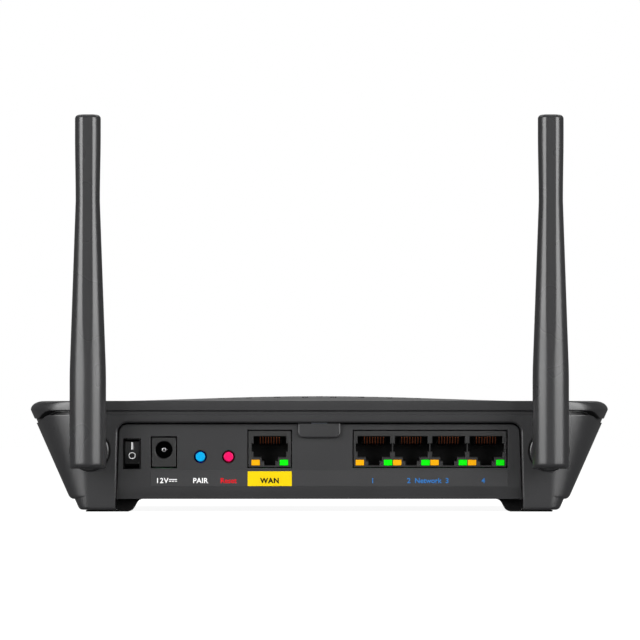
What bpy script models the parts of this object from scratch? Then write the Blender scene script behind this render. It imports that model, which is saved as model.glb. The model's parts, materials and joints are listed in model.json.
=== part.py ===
"""A two-antenna wireless router, as an assembly of separate solids. Metres, +Z up.

The front faces -Y and the connector panel faces +Y. The origin is on the table, under the middle of
the whole object. Positive X is on the side of the power switch, and is called "right" here.
"""

from math import atan2, cos, pi, sin

import bmesh
import bpy
from mathutils import Matrix, Vector

MM = 0.001

# Driving dimensions.
BODY_WIDTH = 217.8 * MM
BODY_DEPTH = 160.0 * MM
DECK_Z = 41.4 * MM  # top edge of the cover
CROWN = 2.3 * MM  # how far the middle of the deck rises above its edge
WIDEST_Z = 38.0 * MM
SIDE_SLOPE = 0.473  # the sides and the front lean in by this much for each unit down
CORNER_R = 23.0 * MM
WALL = 2.2 * MM
BELLY_Z = 4.8 * MM
PANEL_RECESS = 3.0 * MM
PANEL_TOP_Z = 33.2 * MM
PANEL_HALF_WIDTH = 75.6 * MM
SEAM_GAP = 1.5 * MM  # shadow groove between cover and housing
COVER_EDGE_Z = 37.7 * MM
SEAM_DROP = 2.9 * MM  # the seam runs this much lower along the sides and the front
GAP = 0.3 * MM  # play left between two pieces that touch

# Antennas.
ANTENNA_X = 85.7 * MM
PIVOT_Z = 22.7 * MM
PIVOT_OUT = 9.5 * MM  # hinge axis, behind the rear face
BLADE_R = 6.75 * MM
BLADE_BACK = 8.9 * MM  # the blade's rear facet, behind the hinge axis
BLADE_TOP_Z = 147.2 * MM
FACET_WIDTH = 3.7 * MM
KNUCKLE_R = 7.3 * MM
TONGUE_WIDTH = 5.0 * MM
TONGUE_R = 4.2 * MM
PIN_R = 1.2 * MM

OVERALL_DEPTH = BODY_DEPTH + PIVOT_OUT + BLADE_BACK
FRONT_Y = -OVERALL_DEPTH / 2
REAR_Y = FRONT_Y + BODY_DEPTH
MIDDLE_Y = (FRONT_Y + REAR_Y) / 2
PANEL_Y = REAR_Y - PANEL_RECESS
PANEL_BACK_Y = PANEL_Y - 2.0 * MM
REAR_WALL = PANEL_RECESS + 2.0 * MM  # the housing is this thick beside and above the panel

# Circuit board and what stands on it.
BOARD_TOP_Z = 16.4 * MM
BOARD_THICK = 1.6 * MM
BOARD_HALF_WIDTH = 84.0 * MM
BOARD_FRONT_Y = PANEL_BACK_Y - 134.0 * MM
BOARD_REAR_Y = PANEL_BACK_Y - 1.0 * MM
FACE_Y = PANEL_Y - 0.3 * MM  # front faces of the connectors

# Connector panel, by centre. Port pitch is the ganged socket's standard one.
WAN_X = 18.5 * MM
LAN_PITCH = 13.97 * MM
LAN_X = [-(20.4 * MM + i * LAN_PITCH) for i in range(4)]
JACK_BOTTOM_Z = BOARD_TOP_Z + GAP
JACK_TOP_Z = 30.2 * MM
JACK_HALF_WIDTH = 7.95 * MM
JACK_DEPTH = 18.0 * MM
SOCKET_DEPTH = 12.6 * MM
LAMP_OFFSET = 5.28 * MM  # centre of an indicator window, beside its socket's centre
LAMP_SIZE = (3.1 * MM, 5.0 * MM, 2.1 * MM)
LAMP_Z = 18.35 * MM
DC_X = 58.0 * MM
DC_HOLE_Z = 23.1 * MM
SWITCH_X = 69.9 * MM
SWITCH_Z = 21.6 * MM
PAIR_X = 44.4 * MM
RESET_X = 33.9 * MM
BUTTON_Z = 20.55 * MM

# Fixings.
SCREW_PLACES = {
    "rear_left": (-72.0 * MM, REAR_Y - 42.0 * MM),
    "rear_right": (72.0 * MM, REAR_Y - 42.0 * MM),
    "front_left": (-66.0 * MM, FRONT_Y + 56.0 * MM),
    "front_right": (66.0 * MM, FRONT_Y + 56.0 * MM),
}
FOOT_PLACES = {
    "rear_left": (-1, REAR_Y - 29.0 * MM),
    "rear_right": (1, REAR_Y - 29.0 * MM),
    "front_left": (-1, FRONT_Y + 24.0 * MM),
    "front_right": (1, FRONT_Y + 24.0 * MM),
}
FOOT_LENGTH = 20.0 * MM

COLOURS = {
    "black_plastic": ((0.045, 0.045, 0.046), 0.42, 0.0),
    "antenna_plastic": ((0.040, 0.040, 0.041), 0.36, 0.0),
    "jack_plastic": ((0.020, 0.020, 0.020), 0.5, 0.0),
    "gloss_black": ((0.008, 0.008, 0.008), 0.25, 0.0),
    "rubber": ((0.010, 0.010, 0.010), 0.8, 0.0),
    "gold": ((0.80, 0.52, 0.20), 0.3, 1.0),
    "steel": ((0.60, 0.60, 0.62), 0.35, 1.0),
    "aluminium": ((0.70, 0.70, 0.72), 0.45, 1.0),
    "board_green": ((0.02, 0.14, 0.06), 0.45, 0.0),
    "amber_lens": ((0.90, 0.48, 0.01), 0.35, 0.0),
    "green_lens": ((0.01, 0.90, 0.03), 0.35, 0.0),
    "blue_button": ((0.01, 0.42, 0.92), 0.4, 0.0),
    "red_button": ((0.92, 0.05, 0.18), 0.4, 0.0),
    "label_grey": ((0.055, 0.055, 0.056), 0.5, 0.0),
    "label_yellow": ((0.95, 0.72, 0.0), 0.5, 0.0),
    "label_pale": ((0.60, 0.60, 0.58), 0.5, 0.0),
    "clear_lens": ((0.80, 0.84, 0.88), 0.2, 0.0),
    "cable_grey": ((0.10, 0.10, 0.10), 0.5, 0.0),
}


def material(name):
    found = bpy.data.materials.get(name)
    if found:
        return found
    colour, roughness, metallic = COLOURS[name]
    made = bpy.data.materials.new(name)
    made.use_nodes = True
    shader = made.node_tree.nodes["Principled BSDF"]
    shader.inputs["Base Color"].default_value = (*colour, 1.0)
    shader.inputs["Roughness"].default_value = roughness
    shader.inputs["Metallic"].default_value = metallic
    return made


def add_object(name, shape, colour, at=(0, 0, 0), smooth=None):
    """An object from a bmesh that is drawn about `at`; smooth is the edge angle, in radians."""
    bmesh.ops.recalc_face_normals(shape, faces=shape.faces)
    mesh = bpy.data.meshes.new(name)
    shape.to_mesh(mesh)
    shape.free()
    if smooth:
        mesh.shade_smooth()
        mesh.set_sharp_from_angle(angle=smooth)
    made = bpy.data.objects.new(name, mesh)
    made.location = at
    bpy.context.scene.collection.objects.link(made)
    if colour:
        mesh.materials.append(material(colour))
    return made


def boolean(target, tool, operation):
    """Cuts or joins with another object, which then only guides."""
    tool.hide_render = True
    tool.display_type = "WIRE"
    made = target.modifiers.new(tool.name, "BOOLEAN")
    made.operation = operation
    made.solver = "EXACT"
    made.object = tool


def cut(target, shape, name, at=(0, 0, 0)):
    boolean(target, add_object(name, shape, None, at), "DIFFERENCE")


def join(target, shape, name, at=(0, 0, 0)):
    boolean(target, add_object(name, shape, None, at), "UNION")


def box(shape, x, y, z):
    """Adds a box; each of x, y and z is a (low, high) pair."""
    corners = [(a, b, c) for c in z for b in y for a in x]
    verts = [shape.verts.new(p) for p in corners]
    for face in ((0, 2, 3, 1), (4, 5, 7, 6), (0, 1, 5, 4), (2, 6, 7, 3), (0, 4, 6, 2), (1, 3, 7, 5)):
        shape.faces.new([verts[i] for i in face])
    return shape


def boxes(*extents):
    shape = bmesh.new()
    for x, y, z in extents:
        box(shape, x, y, z)
    return shape


def span(centre, width):
    return (centre - width / 2, centre + width / 2)


def prism(points, axis, low, high, shape=None):
    """Adds a polygon, given in the plane across `axis`, as a prism from low to high along it."""
    shape = shape or bmesh.new()
    place = {
        "x": lambda a, b, t: (t, a, b),
        "y": lambda a, b, t: (a, t, b),
        "z": lambda a, b, t: (a, b, t),
    }[axis]
    ends = [[shape.verts.new(place(a, b, t)) for a, b in points] for t in (low, high)]
    shape.faces.new(ends[0])
    shape.faces.new(ends[1][::-1])
    count = len(points)
    for i in range(count):
        j = (i + 1) % count
        shape.faces.new((ends[0][i], ends[1][i], ends[1][j], ends[0][j]))
    return shape


def rod(axis, radius, low, high, steps=16, centre=(0, 0), shape=None):
    """Adds a round bar along an axis. Its flats are pushed out to keep the true radius on average."""
    turns = [2 * pi * (i + 0.5) / steps for i in range(steps)]
    points = [(centre[0] + radius * cos(a), centre[1] + radius * sin(a)) for a in turns]
    return prism(points, axis, low, high, shape)


def loft(rings, start=None, end=None):
    """Skins rings of equal point counts; start and end are centre points that close the ends in a fan."""
    shape = bmesh.new()
    made = [[shape.verts.new(p) for p in ring] for ring in rings]
    count = len(rings[0])
    for low, high in zip(made, made[1:]):
        for i in range(count):
            j = (i + 1) % count
            shape.faces.new((low[i], low[j], high[j], high[i]))
    for ring, centre in ((made[0], start), (made[-1], end)):
        if centre is None:
            shape.faces.new(ring)
            continue
        tip = shape.verts.new(centre)
        for i in range(count):
            shape.faces.new((ring[i], ring[(i + 1) % count], tip))
    # A skin's quads are rarely flat, and a Boolean needs flat faces.
    bmesh.ops.triangulate(shape, faces=shape.faces)
    return shape


# ---------------------------------------------------------------- the shell's outline


def rounded_outline(half_width, front, rear, rear_radius, radius, corner_steps, long_steps, short_steps):
    """Points round a rectangle with round corners, anticlockwise from the rear right corner."""
    centres = (
        (half_width - rear_radius, rear - rear_radius, rear_radius, 0),
        (-half_width + rear_radius, rear - rear_radius, rear_radius, 1),
        (-half_width + radius, front + radius, radius, 2),
        (half_width - radius, front + radius, radius, 3),
    )
    arcs = []
    for cx, cy, radius, quarter in centres:
        turn = [quarter * pi / 2 + pi / 2 * i / corner_steps for i in range(corner_steps + 1)]
        arcs.append([(cx + radius * cos(a), cy + radius * sin(a)) for a in turn])
    points = []
    for i, arc in enumerate(arcs):
        points += arc
        steps = long_steps if i % 2 == 0 else short_steps
        (ax, ay), (bx, by) = arc[-1], arcs[(i + 1) % 4][0]
        points += [(ax + (bx - ax) * k / steps, ay + (by - ay) * k / steps) for k in range(1, steps)]
    return points


def shell_ring(z, inset=0.0, rear_inset=None, drop=0.0, grid=(6, 1, 1), scale=1.0, rise=0.0):
    """One ring of the shell at a height. drop lowers it along the sides; rise crowns it in the middle."""
    lean = SIDE_SLOPE * max(0.0, WIDEST_Z - z)
    rear_inset = inset if rear_inset is None else rear_inset
    half_width = BODY_WIDTH / 2 - lean - inset
    front, rear = FRONT_Y + lean + inset, REAR_Y - rear_inset
    # The rear corners are cones: their rounding starts at the same distance out at every height.
    rear_radius = half_width - (BODY_WIDTH / 2 - CORNER_R)
    ring = []
    for x, y in rounded_outline(half_width, front, rear, rear_radius, CORNER_R - min(inset, 8 * MM), *grid):
        low = z - drop * seam_drop(y)
        shift = SIDE_SLOPE * (z - low)
        side = min(1.0, abs(x) / (half_width - CORNER_R)) if low < z else 0.0
        x -= shift * side * (1 if x > 0 else -1)
        y += shift if y < front + CORNER_R and low < z else 0.0
        x, y = x * scale, MIDDLE_Y + (y - MIDDLE_Y) * scale
        ring.append((x, y, low + rise * crown(x, y)))
    return ring


def seam_drop(y):
    """0 along the rear face, rising smoothly to 1 round the rear corners and on along the sides."""
    t = min(1.0, max(0.0, (REAR_Y - 4 * MM - y) / (14 * MM)))
    return t * t * (3 - 2 * t)


def crown(x, y):
    """The deck's swelling, from 0 at its edge to 1 in the middle."""
    across = cos(pi / 2 * min(1.0, abs(x) / (BODY_WIDTH / 2 - 5 * MM))) ** 2
    along = cos(pi / 2 * min(1.0, abs(y - MIDDLE_Y) / (BODY_DEPTH / 2 - 3 * MM))) ** 2
    return across * along


# ---------------------------------------------------------------- cover


VENT_COLUMNS = 15
VENT_PITCH = 5.4 * MM
VENT_WIDTH = 2.4 * MM
VENT_LENGTH = 12.0 * MM
VENT_ROW_PITCH = 16.0 * MM
VENT_ROWS = 4


def vent_places():
    """Centres of the deck's vent slots; every second column is half a row out of step."""
    for column in range(VENT_COLUMNS):
        odd = column % 2
        for row in range(VENT_ROWS - odd):
            x = (column - (VENT_COLUMNS - 1) / 2) * VENT_PITCH
            y = MIDDLE_Y + (row - (VENT_ROWS - 1 - odd) / 2) * VENT_ROW_PITCH
            yield x, y


def build_top_cover():
    grid = (6, 14, 8)
    edge = [
        (WIDEST_Z, 0.0, 0.0),
        (39.6 * MM, 0.35 * MM, 0.0),
        (40.5 * MM, 1.2 * MM, 0.15 * MM),
        (41.1 * MM, 2.8 * MM, 0.45 * MM),
        (DECK_Z, 5.0 * MM, 1.0 * MM),
    ]
    outer = [shell_ring(COVER_EDGE_Z, drop=SEAM_DROP, grid=grid)]
    outer += [shell_ring(z, inset, rear, grid=grid) for z, inset, rear in edge]
    outer += [
        shell_ring(DECK_Z, 5.0 * MM, 1.0 * MM, grid=grid, scale=s, rise=CROWN)
        for s in (0.88, 0.74, 0.6, 0.46, 0.32, 0.16)
    ]
    ceiling = DECK_Z - WALL
    inner = [
        shell_ring(ceiling, WALL + 2 * MM, WALL, grid=grid, scale=s, rise=CROWN)
        for s in (0.22, 0.5, 0.76)
    ]
    inner.append(shell_ring(ceiling, WALL + 2 * MM, WALL, grid=grid))
    inner.append(shell_ring(WIDEST_Z, WALL, WALL, grid=grid))
    inner.append(shell_ring(COVER_EDGE_Z, WALL, WALL, drop=SEAM_DROP, grid=grid))
    shape = loft(
        inner + outer,
        start=(0, MIDDLE_Y, ceiling + CROWN),
        end=(0, MIDDLE_Y, DECK_Z + CROWN),
    )
    cover = add_object("top_cover", shape, "black_plastic", smooth=0.6)

    slots = bmesh.new()
    for x, y in vent_places():
        box(slots, span(x, VENT_WIDTH), span(y, VENT_LENGTH), (ceiling - 1 * MM, 50 * MM))
    cut(cover, slots, "deck_vent_cutter")
    bosses = bmesh.new()
    for x, y in SCREW_PLACES.values():
        rod("z", 3.2 * MM, BOARD_TOP_Z + GAP, ceiling + 1.2 * MM, 12, (x, y), bosses)
    join(cover, bosses, "cover_boss_guide")
    pilots = bmesh.new()
    for x, y in SCREW_PLACES.values():
        rod("z", 1.6 * MM, BOARD_TOP_Z - 1 * MM, 34 * MM, 10, (x, y), pilots)
    cut(cover, pilots, "cover_pilot_cutter")
    cut(cover, boxes(light_window(0.0)), "light_window_cutter")


def light_window(grow):
    """The status light's window in the deck, near the front, as box extents."""
    y = FRONT_Y + 24 * MM
    return span(0, 7 * MM - grow), span(y, 1.8 * MM - grow), (BOARD_TOP_Z + 2 * MM, 44 * MM)


# ---------------------------------------------------------------- housing


def build_bottom_housing():
    top = COVER_EDGE_Z - SEAM_GAP
    strip_top = COVER_EDGE_Z - GAP
    tongue_top = COVER_EDGE_Z + 0.9 * MM
    rings = [
        shell_ring(BELLY_Z + 2.0 * MM, 5 * MM, REAR_WALL),
        shell_ring(9 * MM, WALL, REAR_WALL),
        shell_ring(28 * MM, WALL, REAR_WALL),
        shell_ring(31.5 * MM, 4.3 * MM, REAR_WALL),
        shell_ring(tongue_top, 4.3 * MM, REAR_WALL, drop=SEAM_DROP),
        shell_ring(tongue_top, 2.6 * MM, 2.6 * MM, drop=SEAM_DROP),
        shell_ring(strip_top, 2.6 * MM, 2.6 * MM, drop=SEAM_DROP),
        shell_ring(strip_top, 2.4 * MM, 0.9 * MM, drop=SEAM_DROP),
        shell_ring(top, 2.4 * MM, 0.9 * MM, drop=SEAM_DROP),
        shell_ring(top, drop=SEAM_DROP),
        shell_ring(9.3 * MM),
        shell_ring(5.6 * MM),
        shell_ring(BELLY_Z, 0.9 * MM, 0.3 * MM),
    ]
    housing = add_object("bottom_housing", loft(rings), "black_plastic", smooth=0.6)

    join(housing, foot_blocks(), "foot_block_guide")
    opening = prism(panel_outline(0.0, -1 * MM), "y", PANEL_BACK_Y - GAP, REAR_Y + 2 * MM)
    cut(housing, opening, "panel_opening_cutter")
    cut(housing, swivel_rods(KNUCKLE_R + 0.4 * MM, -2.4 * MM, 3 * MM, 28), "swivel_seat_cutter")
    cut(housing, swivel_rods(4.3 * MM, -12 * MM, 0, 18), "swivel_bore_cutter")
    cut(housing, belly_vents(), "belly_vent_cutter")
    post_top = BOARD_TOP_Z - BOARD_THICK - GAP
    join(housing, screw_rods(4.6 * MM, BELLY_Z + 1 * MM, post_top, 14), "housing_post_guide")
    cut(housing, screw_rods(3.3 * MM, BELLY_Z - 1 * MM, 8.6 * MM, 14), "screw_head_cutter")
    cut(housing, screw_rods(1.7 * MM, 8 * MM, BOARD_TOP_Z, 10), "screw_shank_cutter")


def screw_rods(radius, low, high, steps):
    """An upright rod at each case screw."""
    shape = bmesh.new()
    for x, y in SCREW_PLACES.values():
        rod("z", radius, low, high, steps, (x, y), shape)
    return shape


def swivel_rods(radius, low, high, steps):
    """A rod on each antenna's swivel axis; low and high are measured from the rear face."""
    shape = bmesh.new()
    for side in (-1, 1):
        rod("y", radius, REAR_Y + low, REAR_Y + high, steps, (side * ANTENNA_X, PIVOT_Z), shape)
    return shape


def foot_blocks():
    """The lower tier that the rubber feet are fixed under: one block in each corner."""
    shape = bmesh.new()
    bottom = 0.75 * MM
    for side in (-1, 1):
        for low, high in ((REAR_Y - 31 * MM, REAR_Y), (FRONT_Y + 22 * MM, FRONT_Y + 46 * MM)):
            upper = foot_block_ring(side, low, high, BELLY_Z + 1.2 * MM, 0.0)
            under = foot_block_ring(side, low, high, bottom + 0.5 * MM, 0.0)
            floor = foot_block_ring(side, low, high, bottom, 0.5 * MM)
            verts = [[shape.verts.new(p) for p in ring] for ring in (upper, under, floor)]
            count = len(upper)
            for a, b in zip(verts, verts[1:]):
                for i in range(count):
                    shape.faces.new((a[i], a[(i + 1) % count], b[(i + 1) % count], b[i]))
            shape.faces.new(verts[0])
            shape.faces.new(verts[-1])
    return shape


def foot_block_ring(side, low, high, z, inset):
    """Plan of one foot block: its outer rear corner follows the shell's, a step further in."""
    step = 1.8 * MM
    outer = BODY_WIDTH / 2 - SIDE_SLOPE * (WIDEST_Z - z) - step - inset
    inner = PANEL_HALF_WIDTH + 0.5 * MM + inset
    low, high = low + inset, high - inset
    points = [(inner, low), (outer, low)]
    if high > REAR_Y - MM:
        radius = max(4 * MM, outer - (BODY_WIDTH / 2 - CORNER_R))
        start = (outer - radius, REAR_Y - inset - radius)
        for i in range(1, 7):
            a = pi / 2 * i / 7.5
            points.append((start[0] + radius * cos(a), start[1] + radius * sin(a)))
        across = inner - start[0]
        points.append((inner, start[1] + (radius**2 - max(0.0, across) ** 2) ** 0.5))
    else:
        points += [(outer, high), (inner, high)]
    return [(side * x, y, z) for x, y in points]


def panel_outline(inset, low):
    """The rear opening's outline in x and z: upright sides that splay slightly, and round top corners."""
    radius = 3.6 * MM - inset
    half, top = PANEL_HALF_WIDTH - 0.4 * MM - inset, PANEL_TOP_Z - inset
    points = [(half + 0.8 * MM, low)]
    for i in range(6):
        a = pi / 2 * i / 5
        points.append((half - radius + radius * cos(a), top - radius + radius * sin(a)))
    return points + [(-x, z) for x, z in reversed(points)]


def build_rear_panel():
    plate = prism(panel_outline(GAP, BELLY_Z), "y", PANEL_BACK_Y, PANEL_Y)
    panel = add_object("rear_panel", plate, "black_plastic", smooth=0.6)
    # Its lower edge leans in towards the belly.
    lean = [(REAR_Y, -MM), (REAR_Y, 9.2 * MM), (PANEL_Y, 9.2 * MM), (PANEL_Y - 1.3 * MM, -MM)]
    cut(panel, prism(lean, "x", -90 * MM, 90 * MM), "panel_lean_cutter")
    join(panel, catch_pad(), "catch_pad_guide")
    join(panel, panel_catches(), "panel_catch_guide")
    cut(panel, boxes(*panel_windows()), "panel_window_cutter")
    holes = rod("y", 2.45 * MM, PANEL_BACK_Y - 1 * MM, REAR_Y, 20, (PAIR_X, BUTTON_Z))
    rod("y", 2.45 * MM, PANEL_BACK_Y - 1 * MM, REAR_Y, 20, (RESET_X, BUTTON_Z), holes)
    cut(panel, holes, "button_hole_cutter")


def catch_pad():
    """The raised pad at the middle of the panel's top edge, over the cover's inner catch."""
    half, low, top, radius = 7.9 * MM, 27.6 * MM, PANEL_TOP_Z - GAP, 1.9 * MM
    shape = bmesh.new()
    rings = []
    for y, inset in ((PANEL_Y - 0.5 * MM, 0.0), (REAR_Y - 1.8 * MM, 0.0), (REAR_Y - 1.2 * MM, 0.7 * MM)):
        outline = [(half - inset, top), (-half + inset, top)]
        for cx, quarter in ((-half + radius, 2), (half - radius, 3)):
            for i in range(4):
                a = quarter * pi / 2 + pi / 2 * i / 3
                reach = radius - inset
                outline.append((cx + reach * cos(a), low + radius + reach * sin(a)))
        rings.append([shape.verts.new((x, y, z)) for x, z in outline])
    for near, far in zip(rings, rings[1:]):
        for i in range(len(near)):
            j = (i + 1) % len(near)
            shape.faces.new((near[i], near[j], far[j], far[i]))
    shape.faces.new(rings[0])
    shape.faces.new(rings[-1])
    return shape


def panel_catches():
    """Hooks on the plate's back that reach behind the housing's rim, two at each end."""
    shape = bmesh.new()
    back = REAR_Y - REAR_WALL - GAP
    for side in (-1, 1):
        for z in (12 * MM, 24 * MM):
            root = PANEL_BACK_Y + 0.5 * MM
            hook = [(73.4, root), (74.5, root), (74.5, back), (78.5, back)]
            hook += [(78.5, back - 1.3 * MM), (73.4, back - 1.3 * MM)]
            prism([(side * x * MM, y) for x, y in hook], "z", *span(z, 4 * MM), shape)
    return shape


def panel_windows():
    """Openings in the panel for the connectors and the switch, as box extents."""
    depth = (PANEL_BACK_Y - 1 * MM, REAR_Y)
    yield span(WAN_X, 2 * JACK_HALF_WIDTH + 0.8 * MM), depth, (16.3 * MM, 30.65 * MM)
    yield span(sum(LAN_X) / 4, 3 * LAN_PITCH + 16.0 * MM), depth, (16.3 * MM, 30.65 * MM)
    yield span(DC_X, 9.8 * MM), depth, (16.2 * MM, 28.2 * MM)
    yield span(SWITCH_X, 6.6 * MM), depth, (15.9 * MM, 27.4 * MM)


def belly_vents():
    shape = bmesh.new()
    for side in (-1, 1):
        for row in range(9):
            y = MIDDLE_Y + (row - 4) * 5.2 * MM
            box(shape, span(side * 40 * MM, 26 * MM), span(y, 2.2 * MM), (BELLY_Z - 2 * MM, 9 * MM))
    return shape


def build_feet():
    """Rubber feet: a thin pad under each foot block, and a thicker lobe on its inner side."""
    for name, (side, low) in FOOT_PLACES.items():
        inner = 71.3 * MM if "rear" in name else 76.6 * MM
        block = PANEL_HALF_WIDTH + 0.2 * MM
        outline = [(inner, 0), (87.4 * MM, 0), (87.4 * MM, 0.45 * MM)]
        if "rear" in name:
            outline += [(block, 0.45 * MM), (block, BELLY_Z - 1.6 * MM), (inner - 2 * MM, BELLY_Z - 1.6 * MM)]
        else:
            outline.append((inner, 0.45 * MM))
        outline = [(side * x, z) for x, z in outline]
        shape = prism(outline, "y", 0, FOOT_LENGTH)
        if "rear" in name:
            lobe = [(inner - 1.9 * MM, BELLY_Z - 2.2 * MM), (block, BELLY_Z - 2.2 * MM)]
            lobe += [(block, BELLY_Z - GAP), (inner - 4.4 * MM, BELLY_Z - GAP)]
            lobe += [(inner - 3.3 * MM, BELLY_Z - 0.8 * MM)]
            top = prism([(side * x, z) for x, z in lobe], "y", 0.001 * MM, FOOT_LENGTH - 0.001 * MM)
        foot = add_object(f"foot_{name}", shape, "rubber", (0, low, 0))
        if "rear" in name:
            join(foot, top, f"foot_lobe_guide_{name}", (0, low, 0))


def build_screws():
    for name, (x, y) in SCREW_PLACES.items():
        shape = rod("z", 2.7 * MM, 0, 1.8 * MM, 12)
        rod("z", 1.3 * MM, 1.8 * MM, 21 * MM, 8, shape=shape)
        head = rod("z", 2.7 * MM, 0, 1.8 * MM, 12)
        screw = add_object(f"case_screw_{name}", head, "steel", (x, y, 6.4 * MM))
        shape.free()
        join(screw, rod("z", 1.3 * MM, 1.0 * MM, 21 * MM, 8), f"screw_shank_guide_{name}", (x, y, 6.4 * MM))
        slot = boxes((span(0, 3.2 * MM), span(0, 0.7 * MM), (-1 * MM, 0.8 * MM)))
        cut(screw, slot, f"screw_slot_a_{name}", (x, y, 6.4 * MM))
        slot = boxes((span(0, 0.7 * MM), span(0, 3.2 * MM), (-1 * MM, 0.8 * MM)))
        cut(screw, slot, f"screw_slot_b_{name}", (x, y, 6.4 * MM))


# ---------------------------------------------------------------- connectors


def socket_profile(x):
    """A modular socket's opening, contacts up and latch slot down, in x and z about its centre line."""
    half = [
        (0, 28.1), (6.1, 28.1), (6.1, 25.4), (6.75, 25.4), (6.75, 22.5), (6.1, 22.5),
        (6.1, 20.5), (3.1, 20.5), (3.1, 19.0), (2.1, 19.0), (2.1, 17.4), (0, 17.4),
    ]
    right = [(x + a * MM, z * MM) for a, z in half]
    left = [(x - a * MM, z * MM) for a, z in half[1:-1]]
    return right + left[::-1]


def build_jack(name, centres):
    """A socket housing with one opening for each centre, and pockets for the indicator windows."""
    middle = sum(centres) / len(centres)
    half = (max(centres) - min(centres)) / 2 + JACK_HALF_WIDTH - 0.4 * MM * (len(centres) > 1)
    y = (-JACK_DEPTH, 0)
    at = (middle, FACE_Y, 0)
    jack = add_object(name, boxes((span(0, 2 * half), y, (JACK_BOTTOM_Z, JACK_TOP_Z))), "jack_plastic", at)
    openings = bmesh.new()
    for x in centres:
        prism(socket_profile(x - middle), "y", -SOCKET_DEPTH, 1 * MM, openings)
    cut(jack, openings, f"{name}_opening_cutter", at)
    pockets = bmesh.new()
    depth = (-LAMP_SIZE[1] - 0.5 * MM, 1 * MM)
    height = span(LAMP_Z, LAMP_SIZE[2] + 0.2 * MM)
    reach = LAMP_OFFSET + LAMP_SIZE[0] / 2 + 0.1 * MM
    edges = sorted(x - middle for x in centres)
    box(pockets, (edges[0] - reach, edges[0] - reach + LAMP_SIZE[0] + 0.2 * MM), depth, height)
    for a, b in zip(edges, edges[1:]):
        inner = reach - LAMP_SIZE[0] - 0.2 * MM
        box(pockets, (a + inner, b - inner), depth, height)
    box(pockets, (edges[-1] + reach - LAMP_SIZE[0] - 0.2 * MM, edges[-1] + reach), depth, height)
    cut(jack, pockets, f"{name}_pocket_cutter", at)


def build_contacts(name, x):
    """Eight slanting spring contacts held in a comb at the back of a socket."""
    at = (x, FACE_Y, 0)
    top, low = 27.7 * MM, 25.5 * MM
    rear = -SOCKET_DEPTH
    comb = boxes((span(0, 9.4 * MM), (rear + 0.3 * MM, rear + 1.6 * MM), (low - 0.1 * MM, top)))
    contacts = add_object(name, comb, "gold", at)
    pins = bmesh.new()
    back, front = -SOCKET_DEPTH + 1.0 * MM, -2.2 * MM
    side = [(back, low), (front, top - 0.35 * MM), (front, top), (back, low + 0.4 * MM)]
    for i in range(8):
        centre = (i - 3.5) * 1.02 * MM
        prism(side, "x", *span(centre, 0.46 * MM), pins)
    join(contacts, pins, f"{name}_pin_guide", at)


def build_lamps(name, x):
    """The amber and green indicator windows under a socket."""
    for side, colour in ((1, "amber"), (-1, "green")):
        size = LAMP_SIZE
        shape = boxes((span(0, size[0]), (-size[1], 0.1 * MM), span(0, size[2])))
        add_object(f"{name}_{colour}", shape, f"{colour}_lens", (x + side * LAMP_OFFSET, FACE_Y, LAMP_Z))


def build_dc_socket():
    at = (DC_X, FACE_Y, 0)
    low, high = JACK_BOTTOM_Z, 27.75 * MM
    block = boxes((span(0, 9.0 * MM), (-13.5 * MM, 0), (low, high)))
    jack = add_object("power_socket", block, "jack_plastic", at)
    cut(jack, rod("y", 3.2 * MM, -10 * MM, 1 * MM, 24, (0, DC_HOLE_Z)), "power_socket_cutter", at)
    pin = add_object("power_pin", rod("y", 1.0 * MM, -9.6 * MM, -1.4 * MM, 14, (0, DC_HOLE_Z)), "steel", at)
    cut(pin, rod("y", 0.45 * MM, -4 * MM, 0, 8, (0, DC_HOLE_Z)), "power_pin_cutter", at)


def build_switch():
    at = (SWITCH_X, PANEL_Y, SWITCH_Z)
    half_w, half_h = 3.1 * MM, 5.55 * MM
    block = boxes((span(0, 2 * half_w), (-12 * MM, 0.3 * MM), (-half_h, half_h)))
    body = add_object("switch_body", block, "gloss_black", at)
    cut(body, boxes((span(0, 5.4 * MM), (-9 * MM, 1 * MM), span(0, 10.6 * MM))), "switch_body_cutter", at)
    # The rocker's section turns about its axis: round skirts, and a slightly hollow face across them.
    radius, turn, edge = 5.1 * MM, 0.21, 0.97
    axis = Vector((SWITCH_X, PANEL_Y - 3.4 * MM, SWITCH_Z))
    skirt = [(radius * cos(a), radius * sin(a)) for a in (edge, 1.12, 1.27, 1.42)]
    face = []
    for k in range(1, 6):
        t = k / 6
        face.append((radius * cos(edge) - 0.35 * MM * sin(pi * t), radius * sin(edge) * (2 * t - 1)))
    inner = 2.8 * MM
    points = [(y, -z) for y, z in reversed(skirt)] + face + skirt
    points += [(-1.6 * MM, inner), (-1.6 * MM, -inner)]
    shape = prism(points, "x", *span(0, 5.0 * MM))
    bmesh.ops.rotate(shape, verts=shape.verts, matrix=Matrix.Rotation(turn, 3, "X"))
    rocker = add_object("switch_rocker", shape, "gloss_black", axis)
    join(rocker, rod("x", 0.8 * MM, -2.9 * MM, 2.9 * MM, 12), "rocker_axle_guide", axis)
    cut(body, rod("x", 1.1 * MM, -4 * MM, 4 * MM, 12), "rocker_bearing_cutter", axis)


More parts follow.
